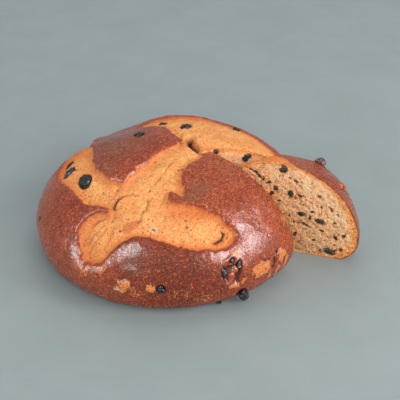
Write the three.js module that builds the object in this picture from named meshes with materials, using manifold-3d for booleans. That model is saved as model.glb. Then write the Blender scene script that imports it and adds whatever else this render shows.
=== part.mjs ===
// A round fruit loaf, slashed before baking and then cut open.
// One sector has been cut from near its centre; a wedge of it stands drawn
// part way out of the notch.  Millimetres, +Z up, flat base on z = 0.
//
// Every body is swept about a vertical axis at a cut corner: rays leave the
// corner, each ray carries one closed outline (top, side, base), and the first
// and last rays are the two flat cut faces.
import * as THREE from 'three';
import { mergeVertices } from 'three/addons/utils/BufferGeometryUtils.js';
import Module from 'manifold-3d';

const wasm = await Module();
wasm.setup();

// ---------------------------------------------------------------- dimensions
const RADIUS = 107.1;        // widest radius of the round, at the belly, under its crust pads
const HEIGHT = 82.6;         // height of the dome under its crust pads
const BELLY_Z = 26.4;        // height of the widest ring
const BASE_RADIUS = 91;      // radius of the flat base
const ROUND_EXP = 2.638;     // fullness of the dome in plan radius
const RISE_EXP = 1.532;      // fullness of the dome in height
const OVAL = [-0.004, 0.022]; // slight oval of the outline, cos 2a and sin 2a

const CORNER = [18.5, 1.5];  // plan point where the two cuts meet
const CUT_FRONT = -35.5;      // direction of the front cut, degrees
const CUT_BACK = 13;         // direction of the back cut, degrees

const WEDGE_TIP = [54.9, -10.5]; // where the drawn-out wedge has its tip
const WEDGE_FRONT = -17.9;   // direction of the wedge's front face, degrees
const WEDGE_SPAN = 28;       // angle of the wedge, degrees
const WEDGE_LENGTH = 96;     // length of its front face
const WEDGE_HEIGHT = 85;     // height just behind the tip
const WEDGE_BELLY_Z = 20;    // height of its widest line
const WEDGE_BASE = 79;       // length of its flat base
const WEDGE_ROUND_EXP = 2.3;
const WEDGE_TIP_DROP = 12;   // how far the crust sinks at the tip
const WEDGE_DROP_RUN = 38;   // over which length it sinks
const WEDGE_TAPER = 0.065;    // the back face is this much shorter
const WEDGE_BACK_FALL = 3;   // and lower by this much

const PAD_RISE = 2.6;        // crust pads above the round
const SLASH_EDGE = 4.0;      // length over which the floor is reached
const PAD_EDGE = 7.0;        // length over which a pad swells
const HOLLOW = { at: [-50, 50], reach: 24, deep: 5.0 }; // the back left pad sags here

// Slashes in plan: start, bend and end of a curve, then half width at the
// start, along the run and at the end, and the depth of the floor below the
// round.
const SLASHES = [
  { from: [-78, 44], bend: [-70, -92], to: [51, -82], half: [9, 14, 0], taper: [0.12, 0.30], depth: 3.6 },
  { from: [-57, -85], bend: [-7, -41], to: [58, 62], half: [8, 16.5, 9], taper: [0.22, 0.25], depth: 3 },
  { from: [-72, 74], bend: [18, 42], to: [92, 14], half: [8, 24, 14], taper: [0.42, 0.25], depth: 1 },
];

const FIT_GAP = 0.3;         // clearance between a raisin and its pocket
const RAYS = 78;             // rays of the round
const TOP_STEPS = 19;        // steps from corner to belly
const SIDE_STEPS = 4;        // steps from belly to base
const BASE_STEPS = 4;        // steps along the base

// The whole stands centred on the origin: the round's centre lies here.
const ROUND_CENTRE = [-19.755, 0.946];

const DEG = Math.PI / 180;

// -------------------------------------------------------------- the dome
const ovalFactor = (x, y) => {
  const a = Math.atan2(y, x);
  return 1 + OVAL[0] * Math.cos(2 * a) + OVAL[1] * Math.sin(2 * a);
};
const planRadius = (x, y) => Math.hypot(x, y) / ovalFactor(x, y);
const domeHeight = (x, y) => {
  const q = Math.min(1, planRadius(x, y) / RADIUS);
  return BELLY_Z + (HEIGHT - BELLY_Z) * Math.pow(Math.max(0, 1 - Math.pow(q, ROUND_EXP)), 1 / RISE_EXP);
};
const radiusAtHeight = (z) => (z >= BELLY_Z
  ? RADIUS * Math.pow(Math.max(0, 1 - Math.pow((z - BELLY_Z) / (HEIGHT - BELLY_Z), RISE_EXP)), 1 / ROUND_EXP)
  : BASE_RADIUS + (RADIUS - BASE_RADIUS) * Math.sqrt(Math.max(0, 1 - (1 - z / BELLY_Z) ** 2)));

// ------------------------------------------------------------ the slashes
const CURVE_STEPS = 24;
const smooth = (t) => { const c = Math.min(1, Math.max(0, t)); return c * c * (3 - 2 * c); };
const slashLines = SLASHES.map((s) => {
  const line = [];
  line.depth = s.depth;
  for (let i = 0; i <= CURVE_STEPS; i += 1) {
    const t = i / CURVE_STEPS;
    const p = [0, 1].map((k) => (1 - t) ** 2 * s.from[k] + 2 * t * (1 - t) * s.bend[k] + t * t * s.to[k]);
    let half = s.half[1];
    if (t < s.taper[0]) half = s.half[0] + (s.half[1] - s.half[0]) * smooth(t / s.taper[0]);
    if (t > 1 - s.taper[1]) half = s.half[2] + (s.half[1] - s.half[2]) * smooth((1 - t) / s.taper[1]);
    line.push([p[0], p[1], half]);
  }
  return line;
});
// Distance to one slash's edge in plan, negative inside it.
const slashEdge = (line, x, y) => {
  let best = Infinity;
  for (let i = 0; i < line.length - 1; i += 1) {
    const [ax, ay, ah] = line[i];
    const [bx, by, bh] = line[i + 1];
    const dx = bx - ax;
    const dy = by - ay;
    const t = Math.min(1, Math.max(0, ((x - ax) * dx + (y - ay) * dy) / (dx * dx + dy * dy)));
    best = Math.min(best, Math.hypot(x - ax - t * dx, y - ay - t * dy) - (ah + t * (bh - ah)));
  }
  return best;
};
// Height of the crust over the plain dome: floors of the slashes lie lower,
// the pads between them swell above it.
const relief = (x, y) => {
  const edges = slashLines.map((line) => slashEdge(line, x, y));
  const nearest = Math.min(...edges);
  const sag = HOLLOW.deep * Math.exp(-((x - HOLLOW.at[0]) ** 2 + (y - HOLLOW.at[1]) ** 2) / HOLLOW.reach ** 2);
  if (nearest > 0) return PAD_RISE * (1 - Math.exp(-nearest / PAD_EDGE)) - sag;
  return -sag - Math.max(...edges.map((e, i) => (e < 0 ? slashLines[i].depth * (1 - Math.exp(e / SLASH_EDGE)) : 0)));
};

// ------------------------------------------------- outlines along one ray
// Each outline is a list of [u, z] from the top of the axis to its foot.
function roundOutline(angle) {
  const dx = Math.cos(angle);
  const dy = Math.sin(angle);
  const at = (u) => [CORNER[0] + u * dx, CORNER[1] + u * dy];
  const reach = (radius) => {
    let lo = 0;
    let hi = 2 * RADIUS;
    for (let i = 0; i < 50; i += 1) {
      const mid = (lo + hi) / 2;
      const [x, y] = at(mid);
      if (planRadius(x, y) < radius) lo = mid; else hi = mid;
    }
    return (lo + hi) / 2;
  };
  const far = reach(RADIUS);
  const list = [];
  for (let i = 0; i <= TOP_STEPS; i += 1) {
    const u = far * (1 - Math.pow(1 - i / TOP_STEPS, 1.4));
    const [x, y] = at(u);
    list.push([u, domeHeight(x, y), relief(x, y)]);
  }
  for (let i = 1; i <= SIDE_STEPS; i += 1) {
    const z = BELLY_Z * (1 - i / SIDE_STEPS);
    const u = reach(radiusAtHeight(z));
    const [x, y] = at(far);
    list.push([u, z, relief(x, y) * (1 - i / SIDE_STEPS)]);
  }
  return swell(list);
}

function wedgeOutline(angle) {
  const turn = (angle / DEG - WEDGE_FRONT) / WEDGE_SPAN;
  const scale = 1 - WEDGE_TAPER * Math.pow(Math.max(0, turn), 1.5);
  const list = [];
  const steps = TOP_STEPS - 3;
  for (let i = 0; i <= steps; i += 1) {
    const s = Math.sin((i / steps) * Math.PI / 2);
    const q = Math.pow(s, 2 / WEDGE_ROUND_EXP);
    const u = WEDGE_LENGTH * q;
    let z = WEDGE_BELLY_Z + (WEDGE_HEIGHT - WEDGE_BELLY_Z) * Math.cos((i / steps) * Math.PI / 2);
    z -= WEDGE_TIP_DROP * Math.max(0, 1 - u / WEDGE_DROP_RUN) ** 2;
    z -= WEDGE_BACK_FALL * turn * Math.min(1, z / WEDGE_HEIGHT);
    list.push([u * scale, z, 0]);
  }
  for (let i = 1; i <= SIDE_STEPS; i += 1) {
    const t = i / SIDE_STEPS;
    const u = WEDGE_BASE + (WEDGE_LENGTH - WEDGE_BASE) * Math.sqrt(1 - t * t);
    list.push([u * scale, WEDGE_BELLY_Z * (1 - t) * list[steps][1] / WEDGE_BELLY_Z, 0]);
  }
  return swell(list);
}

// Moves each point of an outline out by its relief, along the outline's own
// normal, then adds the straight base back to the axis.
function swell(list) {
  const moved = list.map(([u, z, lift], i) => {
    const a = list[Math.max(0, i - 1)];
    const b = list[Math.min(list.length - 1, i + 1)];
    const length = Math.hypot(b[0] - a[0], b[1] - a[1]) || 1;
    const nu = -(b[1] - a[1]) / length;
    const nz = (b[0] - a[0]) / length;
    return i === 0 ? [0, z + lift] : [Math.max(0.5, u + nu * lift), Math.max(0, z + nz * lift)];
  });
  moved[moved.length - 1][1] = 0;
  const foot = moved[moved.length - 1][0];
  for (let i = 1; i <= BASE_STEPS; i += 1) moved.push([foot * (1 - i / BASE_STEPS), 0]);
  return moved;
}

// ------------------------------------------------------ sweeping the rays
function sweep(corner, fromDeg, toDeg, rays, outline) {
  const rings = [];
  for (let j = 0; j <= rays; j += 1) {
    const angle = (fromDeg + (toDeg - fromDeg) * (j / rays)) * DEG;
    rings.push({ angle, line: outline(angle) });
  }
  const count = rings[0].line.length;
  const positions = [];
  const index = [];
  const axisTop = rings[0].line[0][1];
  positions.push(corner[0], corner[1], axisTop, corner[0], corner[1], 0);
  const id = (j, k) => {
    if (k === 0) return 0;
    if (k === count - 1) return 1;
    return 2 + j * (count - 2) + (k - 1);
  };
  for (const { angle, line } of rings) {
    for (let k = 1; k < count - 1; k += 1) {
      positions.push(corner[0] + line[k][0] * Math.cos(angle), corner[1] + line[k][0] * Math.sin(angle), line[k][1]);
    }
  }
  const tri = (a, b, c) => { if (a !== b && b !== c && a !== c) index.push(a, b, c); };
  for (let j = 0; j < rays; j += 1) {
    for (let k = 0; k < count - 1; k += 1) {
      const a = id(j, k);
      const b = id(j, k + 1);
      const c = id(j + 1, k + 1);
      const d = id(j + 1, k);
      tri(a, b, c);
      tri(a, c, d);
    }
  }
  for (const [j, flip] of [[0, true], [rays, false]]) {
    const contour = rings[j].line.map(([u, z]) => new THREE.Vector2(u, z));
    for (const [a, b, c] of THREE.ShapeUtils.triangulateShape(contour, [])) {
      const [ia, ib, ic] = [id(j, a), id(j, b), id(j, c)];
      const area = (contour[b].x - contour[a].x) * (contour[c].y - contour[a].y)
        - (contour[b].y - contour[a].y) * (contour[c].x - contour[a].x);
      // facing decided from the outline's own turn
      if ((area > 0) === flip) tri(ia, ib, ic); else tri(ia, ic, ib);
    }
  }
  return { positions, index };
}

const toManifold = (vertProperties, triVerts) => new wasm.Manifold(new wasm.Mesh({
  numProp: 3,
  vertProperties: new Float32Array(vertProperties),
  triVerts: new Uint32Array(triVerts),
}));
const bodyManifold = ({ positions, index }) => toManifold(positions, index);

function toGeometry(solid) {
  const mesh = solid.getMesh();
  const points = new Float32Array((mesh.vertProperties.length / mesh.numProp) * 3);
  for (let i = 0; i < points.length / 3; i += 1) {
    for (let k = 0; k < 3; k += 1) points[3 * i + k] = mesh.vertProperties[i * mesh.numProp + k];
  }
  const geometry = new THREE.BufferGeometry();
  geometry.setAttribute('position', new THREE.BufferAttribute(points, 3));
  geometry.setIndex(new THREE.BufferAttribute(new Uint32Array(mesh.triVerts), 1));
  geometry.computeVertexNormals();
  return geometry;
}

// ------------------------------------------------------------- raisins
// A raisin is a lumpy flattened ball, its thin way along the surface normal.
function raisinShape(long, wide, thick, seed) {
  const ball = new THREE.SphereGeometry(1, 6, 4);
  ball.deleteAttribute('normal');
  ball.deleteAttribute('uv');
  const merged = mergeVertices(ball, 1e-4);
  const p = merged.attributes.position;
  for (let i = 0; i < p.count; i += 1) {
    const v = new THREE.Vector3().fromBufferAttribute(p, i);
    const lump = 1 + 0.09 * Math.sin(3.1 * v.x + 2.3 * v.y + seed * 1.7) + 0.07 * Math.sin(4.3 * v.z - 2.9 * v.x + seed);
    p.setXYZ(i, v.x * lump * long / 2, v.y * lump * thick / 2, v.z * lump * wide / 2);
  }
  return merged;
}

function placeRaisin(shape, at, normal, turnDeg) {
  const up = new THREE.Vector3(0, 1, 0);
  const toNormal = new THREE.Quaternion().setFromUnitVectors(up, normal);
  const spin = new THREE.Quaternion().setFromAxisAngle(up, turnDeg * DEG);
  const placed = shape.clone();
  placed.applyMatrix4(new THREE.Matrix4().compose(at, toNormal.multiply(spin), new THREE.Vector3(1, 1, 1)));
  return placed;
}

// Point and outward normal of the round's surface, at a plan point of the top
// or at an angle and height on the side.
function onTop(x, y) {
  const z = (px, py) => domeHeight(px, py) + relief(px, py);
  const h = 1.5;
  const gx = (z(x + h, y) - z(x - h, y)) / (2 * h);
  const gy = (z(x, y + h) - z(x, y - h)) / (2 * h);
  return { at: new THREE.Vector3(x, y, z(x, y)), normal: new THREE.Vector3(-gx, -gy, 1).normalize() };
}
function onSide(deg, z) {
  const a = deg * DEG;
  const point = (h) => {
    const r = radiusAtHeight(h) * ovalFactor(Math.cos(a), Math.sin(a)) + PAD_RISE * Math.min(1, h / BELLY_Z);
    return new THREE.Vector3(r * Math.cos(a), r * Math.sin(a), h);
  };
  const slope = point(z + 1).sub(point(z - 1));
  const around = new THREE.Vector3(-Math.sin(a), Math.cos(a), 0);
  return { at: point(z), normal: new THREE.Vector3().crossVectors(around, slope).normalize() };
}
function onCut(corner, deg, facing, u, z) {
  const a = deg * DEG;
  return {
    at: new THREE.Vector3(corner[0] + u * Math.cos(a), corner[1] + u * Math.sin(a), z),
    normal: new THREE.Vector3(-Math.sin(a), Math.cos(a), 0).multiplyScalar(facing),
  };
}
function onWedgeTop(deg, share) {
  const a = deg * DEG;
  const line = wedgeOutline(a);
  const f = share * (TOP_STEPS - 3);
  const k = Math.floor(f);
  const p = line[k];
  const q = line[k + 1];
  const [u, z] = [0, 1].map((i) => p[i] + (q[i] - p[i]) * (f - k));
  const n = new THREE.Vector3(-(q[1] - p[1]) * Math.cos(a), -(q[1] - p[1]) * Math.sin(a), q[0] - p[0]).normalize();
  return { at: new THREE.Vector3(WEDGE_TIP[0] + u * Math.cos(a), WEDGE_TIP[1] + u * Math.sin(a), z), normal: n };
}

// Where raisins show: place, then length, width, thickness, turn and how far
// the middle stands above (+) or below (-) the surface.
const CRUST_RAISINS = [
  [onTop(-67, -24), 17, 11.5, 7, 75, -0.6],
  [onTop(-81.5, -2), 10.5, 8.5, 6, 20, -1.0],
  [onTop(-83, 13), 8, 5.5, 5, 30, -0.8],
  [onTop(-27, 19), 8.5, 7, 5, 60, -0.9],
  [onTop(-9, 49), 6, 5, 4, 20, -0.6],
  [onTop(10, 41), 12, 9, 6, 75, -0.8],
  [onTop(51.5, 63), 8, 6, 6, 10, 1.6],
  [onSide(-68.5, 34), 9, 7.5, 7, 70, -0.8],
  [onSide(-64, 41), 6.5, 6, 6, 10, -0.8],
  [onSide(-61, 36), 8, 6.5, 6, 50, -0.8],
  [onSide(-93.6, 27), 7.5, 5.5, 5, 90, -0.6],
  [onSide(-59.6, 9.5), 11, 9, 8, 20, 2.6],
  [onSide(-69, 5), 5.5, 4.5, 4.5, 0, 0.6],
  [onSide(-41.5, 33), 6, 5, 5, 30, -0.6],
  [onSide(-163.5, 36), 5, 4.5, 4, 30, -0.4],
  [onSide(118, 38), 11, 8, 6, 40, -0.6],
  [onSide(141, 20), 8, 7, 6, 80, 0.3],
  [onSide(88, 46), 9, 7, 6, 15, -0.8],
  [onSide(63, 25), 12, 8, 7, 60, -0.4],
  [onSide(104, 58), 7, 6, 5, 0, -0.5],
];
const WEDGE_RAISINS = [
  [onWedgeTop(8.2, 0.442), 9, 7.5, 8, 35, 2.4],
  [onWedgeTop(-4.5, 0.605), 7.5, 6.5, 5, 10, 0.2],
  [onCut(WEDGE_TIP, WEDGE_FRONT, -1, 32.9, 74.0), 7.5, 6, 4, 20, -1.2],
  [onCut(WEDGE_TIP, WEDGE_FRONT, -1, 27.2, 56.2), 6, 4, 4, 120, -1.2],
  [onCut(WEDGE_TIP, WEDGE_FRONT, -1, 39.3, 53.2), 7, 6, 4, 100, -1.2],
  [onCut(WEDGE_TIP, WEDGE_FRONT, -1, 48.9, 36.4), 8, 4.5, 4, 0, -1.2],
  [onCut(WEDGE_TIP, WEDGE_FRONT, -1, 64.5, 32.4), 10, 6, 4, 160, -1.2],
  [onCut(WEDGE_TIP, WEDGE_FRONT, -1, 73.0, 5.2), 11, 6, 4, 165, -1.2],
  [onCut(WEDGE_TIP, WEDGE_FRONT + WEDGE_SPAN, 1, 30, 52), 9, 6, 4, 30, -1.2],
  [onCut(WEDGE_TIP, WEDGE_FRONT + WEDGE_SPAN, 1, 54, 24), 8, 6, 4, 100, -1.2],
  [onCut(WEDGE_TIP, WEDGE_FRONT + WEDGE_SPAN, 1, 60, 50), 7, 5, 4, 60, -1.2],
];
const NOTCH_RAISINS = [
  [onCut(CORNER, CUT_BACK, -1, 16.5, 75.6), 6, 5, 4, 100, -1.2],
  [onCut(CORNER, CUT_BACK, -1, 41.8, 67), 9, 6, 4, 40, -1.2],
  [onCut(CORNER, CUT_BACK, -1, 36, 32), 8, 6, 4, 150, -1.2],
  [onCut(CORNER, CUT_BACK, -1, 70, 26), 10, 6, 4, 20, -1.2],
  [onCut(CORNER, CUT_FRONT, 1, 30, 50), 9, 7, 4, 70, -1.2],
  [onCut(CORNER, CUT_FRONT, 1, 55, 28), 8, 5, 4, 20, -1.2],
  [onCut(CORNER, CUT_FRONT, 1, 72, 44), 7, 6, 4, 130, -1.2],
];

function raisinSolids([place, long, wide, thick, turn, stand], seed) {
  const at = place.at.clone().addScaledVector(place.normal, stand);
  return [0, 2 * FIT_GAP].map((grow) => {
    const shape = raisinShape(long + grow, wide + grow, thick + grow, seed);
    const g = placeRaisin(shape, at, place.normal, turn);
    return toManifold(g.attributes.position.array, g.index.array);
  });
}

// ------------------------------------------------------------ materials
const crust = new THREE.MeshStandardMaterial({ color: 0x7d3f27, roughness: 0.5, metalness: 0 });
const wedgeCrust = new THREE.MeshStandardMaterial({ color: 0xc79a6a, roughness: 0.6, metalness: 0 });
const raisinSkin = () => new THREE.MeshStandardMaterial({ color: 0x241a1c, roughness: 0.45, metalness: 0 });

// -------------------------------------------------------------- assembly
const group = new THREE.Group();
let loaf = bodyManifold(sweep(CORNER, CUT_BACK, CUT_FRONT + 360, RAYS, roundOutline));
let wedge = bodyManifold(sweep(WEDGE_TIP, WEDGE_FRONT, WEDGE_FRONT + WEDGE_SPAN, 8, wedgeOutline));

const raisins = [];
[[CRUST_RAISINS, 'loaf'], [NOTCH_RAISINS, 'loaf'], [WEDGE_RAISINS, 'wedge']].forEach(([table, host]) => {
  table.forEach((row) => {
    const [solid, pocket] = raisinSolids(row, raisins.length + 1);
    if (host === 'loaf') loaf = loaf.subtract(pocket); else wedge = wedge.subtract(pocket);
    raisins.push(solid);
  });
});

function addMesh(name, solid, material) {
  const mesh = new THREE.Mesh(toGeometry(solid), material);
  mesh.name = name;
  mesh.position.set(ROUND_CENTRE[0], ROUND_CENTRE[1], 0);
  group.add(mesh);
}
addMesh('loaf', loaf, crust);
addMesh('wedge', wedge, wedgeCrust);
raisins.forEach((solid, i) => addMesh(`raisin_${String(i + 1).padStart(2, '0')}`, solid, raisinSkin()));

export default group;
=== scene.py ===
import math

import bpy
import numpy as np
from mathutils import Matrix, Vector
from mathutils.geometry import delaunay_2d_cdt


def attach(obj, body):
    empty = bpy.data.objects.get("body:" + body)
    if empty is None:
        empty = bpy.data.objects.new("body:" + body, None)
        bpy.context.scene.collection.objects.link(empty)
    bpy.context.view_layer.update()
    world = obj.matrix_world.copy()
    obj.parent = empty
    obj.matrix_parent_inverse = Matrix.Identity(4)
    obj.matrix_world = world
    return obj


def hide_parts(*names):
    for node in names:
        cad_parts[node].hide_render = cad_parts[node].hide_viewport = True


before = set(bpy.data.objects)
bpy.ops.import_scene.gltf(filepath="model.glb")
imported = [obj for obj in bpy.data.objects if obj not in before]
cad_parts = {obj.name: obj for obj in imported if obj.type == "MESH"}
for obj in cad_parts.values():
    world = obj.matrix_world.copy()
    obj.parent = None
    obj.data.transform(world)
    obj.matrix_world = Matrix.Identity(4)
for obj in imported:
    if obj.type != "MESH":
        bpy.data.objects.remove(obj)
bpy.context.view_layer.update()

rng = np.random.default_rng(20)

# ------------------------------------------------------------- dimensions, mm
RADIUS, HEIGHT, BELLY_Z, BASE_RADIUS = 107.1, 82.6, 26.4, 91.0
ROUND_EXP, RISE_EXP = 2.638, 1.532
OVAL = (-0.004, 0.022)
CORNER, CUT_FRONT, CUT_BACK = np.array([18.5, 1.5]), -35.5, 13.0
TIP, W_FRONT, W_SPAN = np.array([54.9, -10.5]), -17.9, 28.0
W_LENGTH, W_HEIGHT, W_BELLY, W_BASE, W_EXP = 96.0, 85.0, 20.0, 79.0, 2.3
ROUND_CENTRE = np.array([-19.755, 0.946])
DEG = math.pi / 180


def to_row(p):
    q = np.array(p, float)
    q[..., 0] += ROUND_CENTRE[0]
    q[..., 1] += ROUND_CENTRE[1]
    return q * 0.001


# ---------------------------------------------------------------------- noise
def hash01(ix, iy, iz, seed):
    m = np.uint64(0xFFFFFFFF)
    h = (ix.astype(np.int64).astype(np.uint64) * np.uint64(0x8DA6B343)) & m
    h ^= (iy.astype(np.int64).astype(np.uint64) * np.uint64(0xD8163841)) & m
    h ^= (iz.astype(np.int64).astype(np.uint64) * np.uint64(0xCB1AB31F)) & m
    h ^= np.uint64((seed * 0x9E3779B1) & 0xFFFFFFFF)
    h ^= h >> np.uint64(16)
    h = (h * np.uint64(0x7FEB352D)) & m
    h ^= h >> np.uint64(15)
    h = (h * np.uint64(0x846CA68B)) & m
    h ^= h >> np.uint64(16)
    return h.astype(np.float64) / 4294967295.0


def noise(p, scale, seed):
    """Smooth noise from -1 to 1 with features of that size in mm."""
    q = p / scale
    i = np.floor(q)
    f = q - i
    w = f * f * f * (f * (f * 6 - 15) + 10)
    total = np.zeros(len(p))
    for a in (0, 1):
        wx = w[:, 0] if a else 1 - w[:, 0]
        for b in (0, 1):
            wy = w[:, 1] if b else 1 - w[:, 1]
            for c in (0, 1):
                wz = w[:, 2] if c else 1 - w[:, 2]
                total += wx * wy * wz * hash01(i[:, 0] + a, i[:, 1] + b, i[:, 2] + c, seed)
    return total * 2 - 1


def fractal(p, scale, seed, octaves=3, gain=0.5):
    out, amp, top = np.zeros(len(p)), 1.0, 0.0
    for k in range(octaves):
        out += amp * noise(p, scale / 2 ** k, seed + 17 * k)
        top += amp
        amp *= gain
    return out / top


def smooth(t):
    c = np.clip(t, 0, 1)
    return c * c * (3 - 2 * c)


# --------------------------------------------------------------- round's dome
def oval(x, y):
    a = np.arctan2(y, x)
    return 1 + OVAL[0] * np.cos(2 * a) + OVAL[1] * np.sin(2 * a)


def dome_top(q):
    return BELLY_Z + (HEIGHT - BELLY_Z) * np.maximum(0, 1 - np.clip(q, 0, 1) ** ROUND_EXP) ** (1 / RISE_EXP)


q_table = 1 - (1 - np.linspace(0, 1, 2001)) ** 2
z_table = dome_top(q_table)
s_table = np.concatenate([[0], np.cumsum(np.hypot(np.diff(q_table * RADIUS), np.diff(z_table)))])
z_side = BELLY_Z * (1 - np.linspace(0, 1, 401) ** 1.0)
r_side = BASE_RADIUS + (RADIUS - BASE_RADIUS) * np.sqrt(np.maximum(0, 1 - (1 - z_side / BELLY_Z) ** 2))
s_side = np.concatenate([[0], np.cumsum(np.hypot(np.diff(r_side), np.diff(z_side)))])
S_BELLY, S_SIDE = s_table[-1], s_side[-1]


def reach(angle, radius, corner):
    """Distance from the corner along each ray to the ring of that plan radius."""
    lo, hi = np.zeros_like(angle), np.full_like(angle, 2 * RADIUS)
    c, s = np.cos(angle), np.sin(angle)
    for _ in range(44):
        mid = (lo + hi) / 2
        x, y = corner[0] + mid * c, corner[1] + mid * s
        inside = np.hypot(x, y) / oval(x, y) < radius
        lo, hi = np.where(inside, mid, lo), np.where(inside, hi, mid)
    return (lo + hi) / 2


def round_line(angle, t):
    """Distance from the corner and height of the plain round, t mm along its outline."""
    on_top = t <= S_BELLY
    q = np.interp(t, s_table, q_table)
    far = reach(angle, np.full_like(angle, RADIUS), CORNER)
    u = far * q
    x, y = CORNER[0] + u * np.cos(angle), CORNER[1] + u * np.sin(angle)
    z = dome_top(np.hypot(x, y) / oval(x, y) / RADIUS)
    down = np.clip(t - S_BELLY, 0, S_SIDE)
    radius = np.interp(down, s_side, r_side)
    u2 = reach(angle, radius, CORNER)
    z2 = np.interp(down, s_side, z_side)
    return np.where(on_top, u, u2), np.where(on_top, z, z2)


def surface_place(p):
    """Unrolled place on the round: mm along the crust from its middle, as x and y."""
    rho = np.hypot(p[:, 0], p[:, 1]) / oval(p[:, 0], p[:, 1])
    s = np.where(p[:, 2] >= BELLY_Z - 1e-6, np.interp(rho, q_table * RADIUS, s_table),
                 S_BELLY + np.interp(BELLY_Z - p[:, 2], BELLY_Z - z_side, s_side))
    a = np.arctan2(p[:, 1], p[:, 0])
    return np.stack([s * np.cos(a), s * np.sin(a)], 1)


# ----------------------------------------------------------- planar distances
def line_distance(p, line):
    """Distance to an open line, and how far along it the nearest point lies."""
    line = np.asarray(line, float)
    best, along = np.full(len(p), 1e9), np.zeros(len(p))
    seg = np.hypot(*np.diff(line, axis=0).T)
    run = np.concatenate([[0], np.cumsum(seg)])
    for k in range(len(line) - 1):
        d = line[k + 1] - line[k]
        t = np.clip(((p - line[k]) @ d) / max(d @ d, 1e-9), 0, 1)
        r = np.hypot(*(p - line[k] - t[:, None] * d).T)
        near = r < best
        best = np.where(near, r, best)
        along = np.where(near, run[k] + t * seg[k], along)
    return best, along / max(run[-1], 1e-9)


def rounded(points, passes=2):
    """Cuts the corners of a closed outline."""
    pts = np.asarray(points, float)
    for _ in range(passes):
        nxt = np.roll(pts, -1, axis=0)
        pts = np.stack([0.78 * pts + 0.22 * nxt, 0.22 * pts + 0.78 * nxt], 1).reshape(-1, 2)
    return pts


def outline_distance(p, outline):
    """Distance to a closed outline, negative inside it."""
    d, _ = line_distance(p, np.vstack([outline, outline[:1]]))
    inside = np.zeros(len(p), bool)
    x, y = p[:, 0], p[:, 1]
    for (x0, y0), (x1, y1) in zip(outline, np.roll(outline, -1, axis=0)):
        cross = (y0 > y) != (y1 > y)
        if abs(y1 - y0) > 1e-12:
            inside ^= cross & (x < (x1 - x0) * (y - y0) / (y1 - y0) + x0)
    return np.where(inside, -d, d)


# The opened slashes, one star-shaped outline in unrolled millimetres.
SLASH = rounded([
    (53.7, -88.5), (53, -84.3), (48.2, -80.7), (42, -77), (35.1, -73.2), (27.9, -71.2), (20.8, -68.9), (12.5, -67),
    (4.3, -66.4), (-1.7, -66), (-2.6, -60), (-1.2, -53.8), (4.2, -57), (9.2, -59.4), (11, -57.3), (8.8, -49.5),
    (6.9, -41), (7.2, -34.7), (9.3, -29.2), (14.9, -23.4), (21.9, -14), (25.3, -8.3), (29.5, -4), (40, -1), (62, 2),
    (88, 4), (97, 12), (97, 21), (94, 30), (88, 36), (82, 40), (75, 45), (67, 51), (60, 59), (54, 68), (45, 76),
    (34, 78), (25, 74), (12, 72), (0, 71.5), (-12, 71), (-21, 71), (-27, 70), (-32, 65), (-33, 58), (-30, 51),
    (-25, 45), (-14.7, 41.5), (-6.4, 36.6), (-2.6, 28.6), (1.6, 19.1),
    (6.4, 11.9), (10.3, 7.6), (5.6, 8.5), (-2.6, 1.7), (-9.7, -7.3), (-16.2, -15.9), (-22.6, -23.4), (-27.6, -30.8),
    (-32.1, -36.2), (-35.3, -39.9), (-38.1, -40.2), (-42.4, -37.2), (-46.7, -33.8), (-51.6, -26.6), (-58.8, -18.2),
    (-61.7, -10.3), (-65, 5.5), (-67, 20), (-69, 30), (-71, 44), (-74, 56), (-78, 68), (-86, 76), (-95, 72), (-100, 55),
    (-100, 36), (-100.5, 18), (-98, 2.9), (-91.5, -15.3), (-82, -29), (-76.5, -38), (-70.8, -47.4),
    (-67.1, -52.2), (-59.7, -56.4), (-52.4, -60.2), (-45.2, -65.7), (-47.4, -67.4), (-53.1, -65.4), (-58.3, -65),
    (-64.6, -66.7), (-70.4, -69.8), (-73.6, -72.9), (-73.9, -78.2), (-73.1, -84.3), (-73.8, -90.4), (-74.9, -96.4),
    (-67.8, -101), (-60.7, -103), (-54.8, -102.3), (-50.4, -100), (-47.3, -98.1), (-44.8, -96.4), (-39.3, -93),
    (-33.5, -90.6), (-25.2, -89.9), (-19, -90.9), (-11.6, -93.8), (-1.4, -98.2), (7.7, -100.4), (17.7, -101.4),
    (24.3, -101.5), (33.9, -101.1), (42.7, -98.5), (49.8, -93.7)], 1)

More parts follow.
